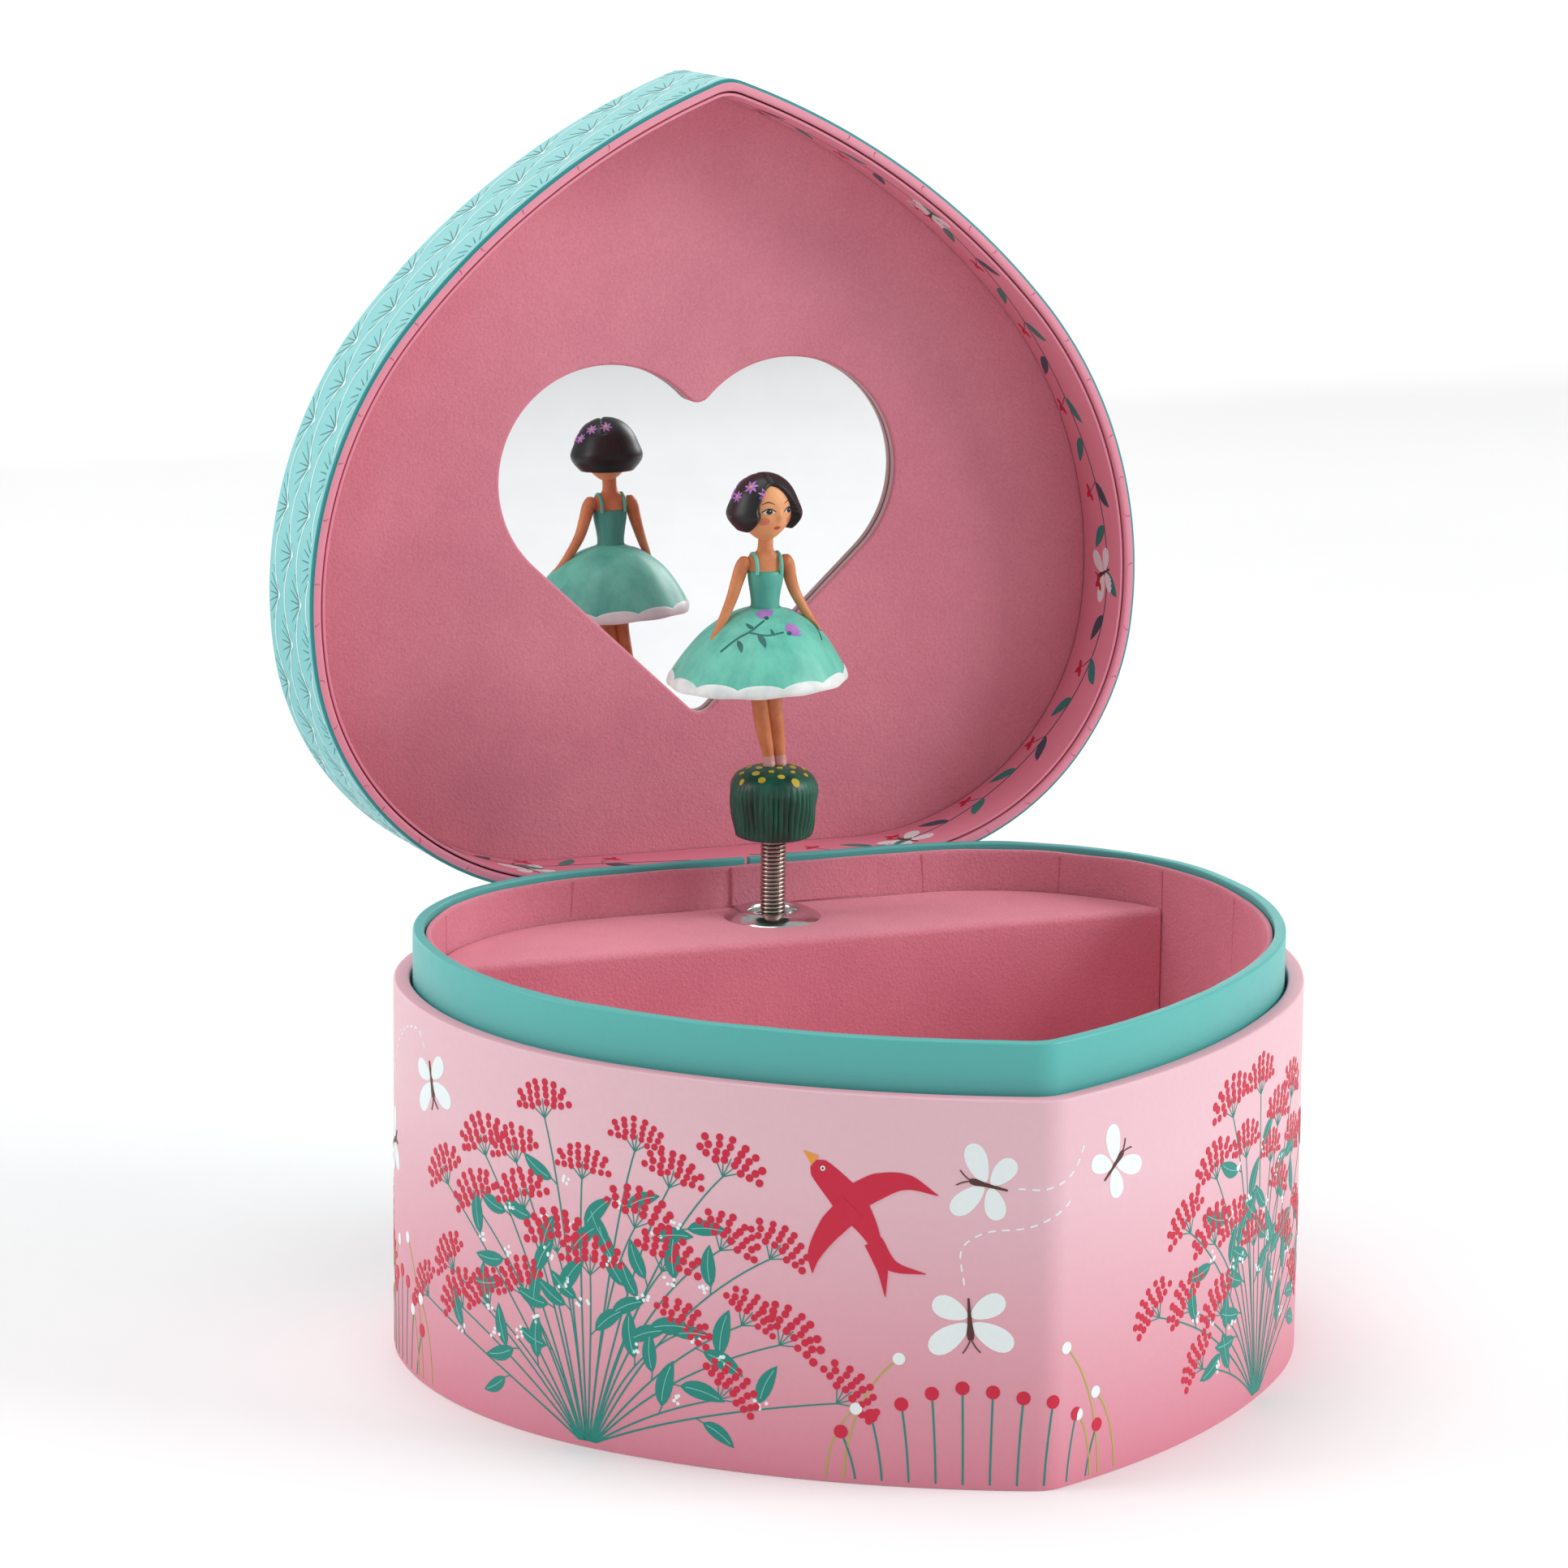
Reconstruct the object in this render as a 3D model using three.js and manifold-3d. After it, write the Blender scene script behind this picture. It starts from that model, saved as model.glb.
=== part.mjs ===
// A wind-up musical jewellery box: a petal-shaped card case with a hinged lid, a dancer on a
// spring, and an 18-note movement under the ledge. Millimetres, +Z up, tip of the case towards -Y.
import * as THREE from 'three';
import { mergeGeometries, mergeVertices } from 'three/addons/utils/BufferGeometryUtils.js';
import Module from 'manifold-3d';

const wasm = await Module();
wasm.setup();

// ---------------------------------------------------------------- overall sizes
const CASE_WIDTH = 160;
const CASE_DEPTH = 147;
const CASE_HEIGHT = 66.3;      // outer case wall
const COLLAR_RISE = 8.8;       // inner collar above the outer wall
const LID_HEIGHT = 27.2;       // rim of the lid to its outer top
const LID_OPEN_DEG = 92.35;    // how far the lid stands open

// the petal outline, one half, from the tip: turns and radii at the nominal width and depth
const TIP_HALF_ANGLE = 70.4;
const NOSE = { radius: 143, turn: 30.3 };
const FLANK = { radius: 79, turn: 47.2 };
const SHOULDER = { radius: 50, turn: 82.9 };
const TIP_ROUNDING = 2.5;

// ---------------------------------------------------------------- board and paper
const WALL = 3;
const COLLAR_GAP = 0.5;
const COLLAR_WALL = 2;
const LINING = 1;
const GLUE_GAP = 0.3;          // left between neighbouring pieces
const BASE_RECESS = 12.5;      // room for the key under the base board
const BASE_BOARD = 2.5;
const LINING_SET_DOWN = 1.1;   // lining stops below the collar's rim
const TRAY_BOARD = 1.8;
const LEDGE_TOP = CASE_HEIGHT + 0.3;
const LEDGE_BOARD = 1.8;
const PARTITION_FROM_BACK = 33.2;
const RISER_THICKNESS = 2;
const RISER_X = 35;
const RISER_FRONT_GAP = 4;     // to the collar lining at the front
const RISER_FROM_PARTITION = 25;

// ---------------------------------------------------------------- lid
const LID_REST_GAP = 0.5;      // rim of the closed lid above the case wall
const LID_WALL = 2.2;
const LID_TOP = 2.2;
const LID_LINING = 0.5;
const PANEL_DEPTH = 17.8;      // rim to the face of the mirror panel
const PANEL_BOARD = 2;
const SPACER_WIDTH = 4;
const MIRROR_GLASS = 1.5;
const MIRROR_MARGIN = 6;       // mirror beyond the window all round
const HEART = { lobeX: 17.6, lobeR: 21, height: 65.2, tipR: 3, notchR: 3, tipFromBack: 28.6 };

// ---------------------------------------------------------------- hinges
const HINGE_OFFSET = 2.4;      // pin axis behind the case
const HINGE_SPREAD = 30;
const HINGE_WIDTH = 18;
const HINGE_LEAF = 0.8;
const HINGE_LEAF_LENGTH = 15;
const KNUCKLE_R = 1.6;
const PIN_R = 0.8;
const RUNNING = 0.05;          // radial play of a shaft in its hole

// ---------------------------------------------------------------- dancer
const POST_FROM_BACK = WALL + COLLAR_GAP + COLLAR_WALL + LINING + 9.9;
const SPRING_R = 2.35;
const SPRING_WIRE = 0.7;
const SPRING_FOOT = LEDGE_TOP - 6.1;
const SPRING_TOP = LEDGE_TOP + 16.9;
const EYELET = { flangeR: 8.85, holeR: 4.4, tubeR: 5.3, crown: 1.4, tail: 5 };
const FERRULE = { bottom: SPRING_TOP - 2.6, top: SPRING_TOP + 1, wall: 0.5 };
const PEDESTAL = { bottom: FERRULE.bottom + 0.6, side: 6.5, top: FERRULE.bottom + 13.7, r: 8 };
const FEET = PEDESTAL.top;
const FIGURE = { hemZ: FEET + 16.2, hemR: 16.2, waistZ: FEET + 28.8, waistR: 2.7, shoulderZ: FEET + 38,
  shoulderHalf: 3.8, neckR: 1.4, chinZ: FEET + 41.4, headTop: FEET + 53.3, headR: 6.6,
  legR: 1.6, legSpread: 1.3 };

// ---------------------------------------------------------------- movement
const BED = { x0: -12, x1: 41, y0: -27, y1: 7.5, thickness: 2.2, corner: 3 };
const BARREL = { r: 9.2, wall: 0.8, bottom: 6, height: 9 };
const ARBOR_R = 1.6;
const CROWN = { teeth: 40, plate: 1.5, toothHeight: 0.9, toothWidth: 1.4, mesh: 0.25 };
const PINION_TEETH = 20;
const GEAR_MODULE = 0.425;
const TOOTH_TIP = 0.75;        // in modules, outside the pitch circle
const TOOTH_ROOT = 1.05;       // in modules, inside it
const CYLINDER = { r: 6.3, length: 18, wall: 0.8, pin: 0.35 };
const SHAFT_R = 1;
const PLATE = 1.2;             // bearing plates
const COMB = { teeth: 18, thickness: 1, toothLength: 10.3, body: 7 };
const DRIVE_TEETH = 32;
const GOVERNOR_PINION_TEETH = 8;
const WORM_WHEEL_TEETH = 20;
const TRAIN_MODULE = 0.4;
const WORM_CORE_R = 1;
const FLY = { r: 4.5, blade: 0.6, height: 3 };
const SCREW_R = 1;
const SCREW_PLAY = 0.3;
const KEY = { bottom: 1.5, wingHalf: 10, wingHeight: 6.5, thickness: 1.6, stemR: 2.6 };
const LEVER = { thickness: 0.5, x: -0.8, slot: 1.1, depth: 0.5, hook: 1.6,
  pivotZ: CASE_HEIGHT - 22.5, top: CASE_HEIGHT + 5.7 };

// ---------------------------------------------------------------- places worked out from the sizes
const BACK = CASE_DEPTH / 2;
const COLLAR_OUT = WALL + COLLAR_GAP;
const COLLAR_IN = COLLAR_OUT + COLLAR_WALL;
const LINING_OUT = COLLAR_IN + GLUE_GAP;
const LINING_IN = LINING_OUT + LINING;
const INSIDE = LINING_IN + GLUE_GAP;
const COLLAR_TOP = CASE_HEIGHT + COLLAR_RISE;
const BASE_TOP = BASE_RECESS + BASE_BOARD;
const POST_Y = BACK - POST_FROM_BACK;
const PARTITION_Y = BACK - PARTITION_FROM_BACK;
const HINGE_Y = BACK + HINGE_OFFSET;
const HINGE_Z = CASE_HEIGHT;
const MOVEMENT_Z = BASE_TOP + GLUE_GAP;
const SEGMENTS = 24;

// ---------------------------------------------------------------- geometry helpers
const root = new THREE.Group();
const lid = new THREE.Group();
const movement = new THREE.Group();
root.add(lid, movement);
lid.position.set(0, HINGE_Y, HINGE_Z);
lid.rotation.x = -THREE.MathUtils.degToRad(LID_OPEN_DEG);
movement.position.set(0, POST_Y, MOVEMENT_Z);

const FINISH = {
  caseBoard: [0xe9a3ad, 0.6, 0], collar: [0x4fa8a4, 0.6, 0], flock: [0xe58a9a, 0.95, 0], board: [0x9a8a78, 0.9, 0],
  lidPaper: [0x4fa8a4, 0.6, 0], liningPaper: [0xe9a3ad, 0.6, 0], mirror: [0xe8ecf0, 0.05, 1],
  steel: [0xb8b8b8, 0.35, 1], chrome: [0xd8d8d8, 0.15, 1], brass: [0xc9a24b, 0.3, 1], zinc: [0x9c9c9a, 0.5, 1],
  pedestal: [0x1f5f4f, 0.4, 0], resin: [0xd08a5a, 0.5, 0], plastic: [0xd8d4c8, 0.5, 0], cork: [0x8a8f96, 0.9, 0]
};

function piece(name, geometry, finish, parent = root) {
  const [color, roughness, metalness] = FINISH[finish];
  const mesh = new THREE.Mesh(geometry, new THREE.MeshStandardMaterial({ color, roughness, metalness }));
  mesh.name = name;
  parent.add(mesh);
  return mesh;
}

function plain(geometry) {
  const copy = geometry.clone();
  copy.deleteAttribute('normal');
  copy.deleteAttribute('uv');
  return mergeVertices(copy, 1e-4);
}

function solid(geometry) {
  const g = plain(geometry);
  return new wasm.Manifold(new wasm.Mesh({
    numProp: 3,
    vertProperties: new Float32Array(g.attributes.position.array),
    triVerts: new Uint32Array(g.index.array)
  }));
}

function fromSolid(body) {
  const mesh = body.getMesh();
  const g = new THREE.BufferGeometry();
  g.setAttribute('position', new THREE.BufferAttribute(new Float32Array(mesh.vertProperties), 3));
  g.setIndex(new THREE.BufferAttribute(new Uint32Array(mesh.triVerts), 1));
  g.computeVertexNormals();
  return g;
}

function join(first, ...others) {
  return fromSolid(others.reduce((sum, g) => sum.add(solid(g)), solid(first)));
}

function cut(first, ...others) {
  return fromSolid(others.reduce((sum, g) => sum.subtract(solid(g)), solid(first)));
}

function common(first, second) {
  return fromSolid(solid(first).intersect(solid(second)));
}

function box(x0, x1, y0, y1, z0, z1) {
  return new THREE.BoxGeometry(x1 - x0, y1 - y0, z1 - z0).translate((x0 + x1) / 2, (y0 + y1) / 2, (z0 + z1) / 2);
}

function rod(r, z0, z1, x = 0, y = 0, segments = SEGMENTS) {
  return new THREE.CylinderGeometry(r, r, z1 - z0, segments).rotateX(Math.PI / 2).translate(x, y, (z0 + z1) / 2);
}

function rodX(r, x0, x1, y = 0, z = 0, segments = 16) {
  return new THREE.CylinderGeometry(r, r, x1 - x0, segments).rotateZ(Math.PI / 2).translate((x0 + x1) / 2, y, z);
}

// a profile of [radius, height] pairs turned about Z
function turned(profile, segments = SEGMENTS) {
  const points = profile.map(([r, z]) => new THREE.Vector2(r, z));
  return new THREE.LatheGeometry(points, segments).rotateX(Math.PI / 2);
}

function closedLoop(profile) {
  return [...profile, profile[0]];
}

function slab(points, z0, z1, holes = []) {
  const shape = new THREE.Shape(points);
  shape.holes = holes.map((hole) => new THREE.Path(hole));
  return new THREE.ExtrudeGeometry(shape, { depth: z1 - z0, bevelEnabled: false }).translate(0, 0, z0);
}

function circle(r, x = 0, y = 0, segments = SEGMENTS) {
  return Array.from({ length: segments }, (_, i) => {
    const a = (2 * Math.PI * i) / segments;
    return new THREE.Vector2(x + r * Math.cos(a), y + r * Math.sin(a));
  });
}

// ---------------------------------------------------------------- the petal outline
function halfOutline() {
  const points = [new THREE.Vector2(0, 0)];
  let heading = THREE.MathUtils.degToRad(TIP_HALF_ANGLE);
  const at = new THREE.Vector2(0, 0);
  for (const { radius, turn } of [NOSE, FLANK, SHOULDER]) {
    const total = THREE.MathUtils.degToRad(turn);
    const steps = Math.ceil(turn / 7);
    const centre = at.clone().add(new THREE.Vector2(-Math.cos(heading), Math.sin(heading)).multiplyScalar(radius));
    for (let i = 1; i <= steps; i += 1) {
      const h = heading - (total * i) / steps;
      points.push(centre.clone().sub(new THREE.Vector2(-Math.cos(h), Math.sin(h)).multiplyScalar(radius)));
    }
    heading -= total;
    at.copy(points.at(-1));
  }
  return points;
}

function fullOutline() {
  const half = halfOutline();
  const widest = Math.max(...half.map((p) => p.x));
  const deepest = half.at(-1).y;
  const scaled = (p) => new THREE.Vector2((p.x * CASE_WIDTH) / 2 / widest, (p.y / deepest - 0.5) * CASE_DEPTH);
  const right = half.map(scaled);
  right.at(-1).y = CASE_DEPTH / 2;
  const left = right.slice(1).reverse().map((p) => new THREE.Vector2(-p.x, p.y));
  return [...right, ...left];
}

// every edge moved inwards by the same distance, with the tip blunted a little
function inset(points, distance) {
  const n = points.length;
  const normals = points.map((p, i) => {
    const d = points[(i + 1) % n].clone().sub(p).normalize();
    return new THREE.Vector2(-d.y, d.x);
  });
  const moved = points.map((p, i) => {
    const a = normals[(i + n - 1) % n];
    const b = normals[i];
    const m = a.clone().add(b);
    return p.clone().addScaledVector(m, (2 * distance) / m.lengthSq());
  });
  const [tip, next, last] = [moved[0], moved[1], moved.at(-1)];
  const toNext = next.clone().sub(tip).normalize().multiplyScalar(TIP_ROUNDING);
  const toLast = last.clone().sub(tip).normalize().multiplyScalar(TIP_ROUNDING);
  const soft = tip.clone().addScaledVector(toNext.clone().add(toLast), 0.27);
  return [tip.clone().add(toLast), soft, tip.clone().add(toNext), ...moved.slice(1)];
}

const OUTLINE = fullOutline();
const outlineAt = (distance) => inset(OUTLINE, distance);
const ring = (outer, inner, z0, z1) => slab(outlineAt(outer), z0, z1, [outlineAt(inner)]);

// keep the part of an outline between two values of y
function clipped(points, low, high) {
  const clip = (list, keep, y) => list.flatMap((p, i) => {
    const q = list[(i + 1) % list.length];
    const out = keep(p.y) ? [p] : [];
    if (keep(p.y) !== keep(q.y)) {
      out.push(new THREE.Vector2(p.x + ((q.x - p.x) * (y - p.y)) / (q.y - p.y), y));
    }
    return out;
  });
  return clip(clip(points, (v) => v >= low, low), (v) => v <= high, high);
}

// where a line at x meets the front of an outline
function frontAt(points, x) {
  return Math.min(...points.flatMap((p, i) => {
    const q = points[(i + 1) % points.length];
    return (p.x > x) === (q.x > x) ? [] : [p.y + ((q.y - p.y) * (x - p.x)) / (q.x - p.x)];
  }));
}

// ---------------------------------------------------------------- case
const screwPlaces = [[BED.x0 + 3.5, BED.y0 + 4], [BED.x1 - 3.5, BED.y0 + 4], [BED.x1 - 7, BED.y1 - 3]];
const leverSlot = box(LEVER.x - LEVER.slot / 2, LEVER.x + LEVER.slot / 2, BACK - COLLAR_IN - 0.2, BACK - WALL,
  LEVER.pivotZ - 1.6, COLLAR_TOP + 1);
const leverWindow = box(LEVER.x - LEVER.slot / 2, LEVER.x + LEVER.slot / 2, BACK - LINING_IN - 0.2,
  BACK - LINING_OUT + 0.2, LEVER.pivotZ - 1.6, LEVER.pivotZ + 1.6);

function buildCase() {
  piece('outer_box', ring(0, WALL, 0, CASE_HEIGHT), 'caseBoard');
  const holes = screwPlaces.map(([x, y]) => circle(SCREW_R + 2 * SCREW_PLAY, x, POST_Y + y, 12));
  holes.push(circle(KEY.stemR + 2 * GLUE_GAP, 0, POST_Y));
  piece('base_board', slab(outlineAt(WALL + GLUE_GAP), BASE_RECESS, BASE_TOP, holes), 'board');
  const low = BASE_TOP + GLUE_GAP;
  piece('inner_collar', cut(ring(COLLAR_OUT, COLLAR_IN, low, COLLAR_TOP), leverSlot), 'collar');
  const lining = ring(LINING_OUT, LINING_IN, low, COLLAR_TOP - LINING_SET_DOWN);
  piece('collar_lining', cut(lining, leverWindow), 'flock');
}

const CRADLE_TOP = MOVEMENT_Z + BARREL.bottom + BARREL.height + GLUE_GAP + CROWN.plate;
const SHAFT_Z = CRADLE_TOP - MOVEMENT_Z + CROWN.mesh + (PINION_TEETH / 2 + TOOTH_TIP) * GEAR_MODULE;
const COMB_SCREW_HEAD = 1.4;
const TRAY_BOTTOM = MOVEMENT_Z + SHAFT_Z + COMB.thickness / 2 + GLUE_GAP + COMB_SCREW_HEAD + 0.6;
const TRAY_TOP = TRAY_BOTTOM + TRAY_BOARD;

function buildTray() {
  const inside = outlineAt(INSIDE);
  const floor = clipped(inside, -CASE_DEPTH, PARTITION_Y + LEDGE_BOARD);
  piece('tray_floor', slab(floor, TRAY_BOTTOM, TRAY_TOP), 'flock');
  const top = clipped(inside, PARTITION_Y, CASE_DEPTH);
  const wall = clipped(inside, PARTITION_Y, PARTITION_Y + LEDGE_BOARD);
  const topBoard = slab(top, LEDGE_TOP - LEDGE_BOARD, LEDGE_TOP, [circle(EYELET.tubeR + GLUE_GAP, 0, POST_Y)]);
  const front = slab(wall, TRAY_TOP + GLUE_GAP, LEDGE_TOP - LEDGE_BOARD / 2);
  piece('ledge_cover', join(topBoard, front), 'flock');
  for (const [side, name] of [[-1, 'floor_riser_left'], [1, 'floor_riser_right']]) {
    const x = side * RISER_X;
    piece(name, box(x - RISER_THICKNESS / 2, x + RISER_THICKNESS / 2, frontAt(inside, RISER_X) + RISER_FRONT_GAP,
      PARTITION_Y - RISER_FROM_PARTITION, BASE_TOP + GLUE_GAP, TRAY_BOTTOM - GLUE_GAP), 'board');
  }
}

function buildEyelet() {
  const e = EYELET;
  const z = LEDGE_TOP + GLUE_GAP;
  piece('eyelet', turned(closedLoop([
    [e.holeR, z - e.tail], [e.tubeR, z - e.tail], [e.tubeR, z], [e.flangeR, z], [e.flangeR - 0.2, z + 0.4],
    [e.flangeR - 1.1, z + 0.95], [e.tubeR + 1.6, z + e.crown - 0.1], [e.tubeR + 0.5, z + e.crown],
    [e.holeR + 0.4, z + e.crown - 0.4], [e.holeR, z + 0.1]
  ])).translate(0, POST_Y, 0), 'chrome');
  const under = LEDGE_TOP - LEDGE_BOARD - GLUE_GAP;
  piece('eyelet_washer', turned(closedLoop([
    [e.tubeR + GLUE_GAP, under - 0.8], [e.flangeR - 0.5, under - 0.8], [e.flangeR - 0.5, under],
    [e.tubeR + GLUE_GAP, under]
  ])).translate(0, POST_Y, 0), 'steel');
}

// ---------------------------------------------------------------- lid, drawn closed about its hinge axis
const RIM = LID_REST_GAP;      // height of the rim above the hinge axis when closed
const lidSlab = (distance, z0, z1, holes = []) => {
  return slab(outlineAt(distance), z0, z1, holes).translate(0, -HINGE_Y, 0);
};

// window outline in lid coordinates: round lobes, straight flanks, rounded tip and notch
function heartOutline(grow = 0) {
  const h = HEART;
  const tipY = BACK - h.tipFromBack;
  const lobeY = tipY - h.height + h.lobeR;
  const r = h.lobeR + grow;
  const right = [];
  const notchY = Math.sqrt((r + h.notchR) ** 2 - h.lobeX ** 2);
  const notchStart = Math.atan2(h.lobeX, notchY);
  for (let i = 0; i <= 2; i += 1) {
    const a = (notchStart * i) / 2;
    right.push([h.notchR * Math.sin(a), lobeY - notchY + h.notchR * Math.cos(a)]);
  }
  const dy = tipY - lobeY - h.tipR;
  const far = Math.hypot(h.lobeX, dy);
  const leave = Math.atan2(dy, -h.lobeX) - Math.acos((r - h.tipR - grow) / far);
  const enter = Math.PI / 2 + notchStart;
  const steps = 14;
  for (let i = 1; i <= steps; i += 1) {
    const a = -enter + ((leave + enter) * i) / steps;
    right.push([h.lobeX + r * Math.cos(a), lobeY + r * Math.sin(a)]);
  }
  for (let i = 0; i < 3; i += 1) {
    const a = leave + ((Math.PI / 2 - leave) * i) / 3;
    right.push([(h.tipR + grow) * Math.cos(a), tipY - h.tipR + (h.tipR + grow) * Math.sin(a)]);
  }
  right.push([0, tipY + grow]);
  const points = right.map(([x, y]) => new THREE.Vector2(x, y));
  const left = right.slice(1, -1).reverse().map(([x, y]) => new THREE.Vector2(-x, y));
  return [...points, ...left];
}

function buildLid() {
  const shell = join(
    lidSlab(0, RIM, RIM + LID_HEIGHT - LID_TOP / 2, [outlineAt(LID_WALL)]),
    lidSlab(0, RIM + LID_HEIGHT - LID_TOP, RIM + LID_HEIGHT)
  );
  piece('lid_shell', shell, 'lidPaper', lid);
  const liningOut = LID_WALL + GLUE_GAP;
  piece('lid_wall_lining', lidSlab(liningOut, RIM + 0.6, RIM + PANEL_DEPTH - GLUE_GAP,
    [outlineAt(liningOut + LID_LINING)]), 'liningPaper', lid);
  const panelBack = RIM + PANEL_DEPTH + PANEL_BOARD;
  piece('lid_panel', lidSlab(liningOut, RIM + PANEL_DEPTH, panelBack, [heartOutline()]), 'flock', lid);
  const under = RIM + LID_HEIGHT - LID_TOP - GLUE_GAP;
  piece('panel_spacer', lidSlab(liningOut, panelBack + GLUE_GAP, under,
    [outlineAt(liningOut + SPACER_WIDTH)]), 'board', lid);
  const glassFace = panelBack + GLUE_GAP;
  const half = HEART.lobeX + HEART.lobeR + MIRROR_MARGIN;
  const y1 = BACK - HEART.tipFromBack + MIRROR_MARGIN - HINGE_Y;
  const y0 = y1 - HEART.height - 2 * MIRROR_MARGIN;
  const room = lidSlab(liningOut + SPACER_WIDTH + GLUE_GAP, glassFace - GLUE_GAP, under + GLUE_GAP);
  piece('mirror', common(box(-half, half, y0, y1, glassFace, glassFace + MIRROR_GLASS), room), 'mirror', lid);
  const pad = MIRROR_MARGIN / 2;
  piece('mirror_backing', common(box(-half + pad, half - pad, y0 + pad, y1 - pad,
    glassFace + MIRROR_GLASS + GLUE_GAP, under), room), 'board', lid);
}

// ---------------------------------------------------------------- hinges, drawn about the pin axis
// up = 1 for the lid's leaf, -1 for the case's; the plate lies just behind the wall
function hingeLeaf(x, up, knuckles) {
  const face = -HINGE_OFFSET + GLUE_GAP;
  const start = KNUCKLE_R + 0.4;
  const span = (a, b) => [Math.min(a * up, b * up), Math.max(a * up, b * up)];
  const [z0, z1] = span(start, start + HINGE_LEAF_LENGTH);
  const half = HINGE_WIDTH / 2;
  let leaf = solid(box(x - half, x + half, face, face + HINGE_LEAF, z0, z1));
  for (const [a, b] of knuckles) {
    const [w0, w1] = span(0, start + 1);
    leaf = leaf.add(solid(box(x + a, x + b, face, face + HINGE_LEAF, w0, w1)));
    leaf = leaf.add(solid(rodX(KNUCKLE_R, x + a, x + b, 0, 0, 14)));
  }
  leaf = leaf.subtract(solid(rodX(PIN_R + RUNNING, x - half - 1, x + half + 1, 0, 0, 14)));
  for (const side of [-1, 1]) {
    for (const along of [0.35, 0.8]) {
      const z = up * (start + HINGE_LEAF_LENGTH * along);
      const head = new THREE.SphereGeometry(1.5, 8, 4).scale(1, 0.6, 1);
      leaf = leaf.add(solid(head.translate(x + side * half * 0.6, face + HINGE_LEAF, z)));
    }
  }
  return fromSolid(leaf);
}

function buildHinges() {
  const third = HINGE_WIDTH / 4;
  const half = HINGE_WIDTH / 2;
  for (const [side, name] of [[-1, 'left'], [1, 'right']]) {
    const x = side * HINGE_SPREAD;
    const outer = [[-half, -third - GLUE_GAP / 2], [third + GLUE_GAP / 2, half]];
    const middle = [[-third + GLUE_GAP / 2, third - GLUE_GAP / 2]];
    const caseLeaf = piece(`hinge_case_leaf_${name}`, hingeLeaf(x, -1, outer), 'steel');
    caseLeaf.position.set(0, HINGE_Y, HINGE_Z);
    piece(`hinge_lid_leaf_${name}`, hingeLeaf(x, 1, middle), 'steel', lid);
    piece(`hinge_pin_${name}`, rodX(PIN_R, x - half - 0.4, x + half + 0.4, 0, 0, 14), 'steel')
      .position.set(0, HINGE_Y, HINGE_Z);
  }
}

// ---------------------------------------------------------------- dancer on her spring
function buildSpring() {
  const turns = 8;
  const pitch = (SPRING_TOP - SPRING_FOOT) / turns;
  const inner = SPRING_R - SPRING_WIRE;
  const outside = [];
  for (let i = 0; i < turns; i += 1) {
    const z = SPRING_FOOT + i * pitch;
    outside.push([SPRING_R - 0.15, z], [SPRING_R, z + pitch / 2]);
  }
  outside.push([SPRING_R - 0.15, SPRING_TOP]);
  const profile = closedLoop([...outside, [inner, SPRING_TOP], [inner, SPRING_FOOT]]);
  piece('dancer_spring', turned(profile, 12).translate(0, POST_Y, 0), 'steel');
}

function buildPedestal() {
  const f = FERRULE;
  const inner = SPRING_R + GLUE_GAP;
  const outer = inner + f.wall;
  piece('ferrule', turned([
    [0, f.top - 0.6], [inner, f.top - 0.6], [inner, f.bottom], [outer, f.bottom], [outer, f.top], [0, f.top]
  ]).translate(0, POST_Y, 0), 'steel');
  const p = PEDESTAL;
  const bore = outer + GLUE_GAP;
  const dome = [];
  const rise = p.top - p.bottom - p.side;
  for (let i = 0; i < 6; i += 1) {
    const a = (Math.PI / 2) * (i / 6);
    dome.push([p.r * Math.cos(a), p.bottom + p.side + rise * Math.sin(a)]);
  }
  piece('pedestal', turned([
    [0, f.top + GLUE_GAP], [bore, f.top + GLUE_GAP], [bore, p.bottom], [p.r - 0.6, p.bottom],
    [p.r, p.bottom + 0.6], ...dome, [0, p.top]
  ], 24).translate(0, POST_Y, 0), 'pedestal');
}

// a limb as a tapered round bar between two points
function limb(from, to, r0, r1) {
  const a = new THREE.Vector3(...from);
  const b = new THREE.Vector3(...to);
  const along = b.clone().sub(a);
  const bar = new THREE.CylinderGeometry(r1, r0, along.length(), 8);
  const turn = new THREE.Quaternion().setFromUnitVectors(new THREE.Vector3(0, 1, 0), along.clone().normalize());
  return bar.applyQuaternion(turn).translate(...a.add(b).multiplyScalar(0.5).toArray());
}

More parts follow.
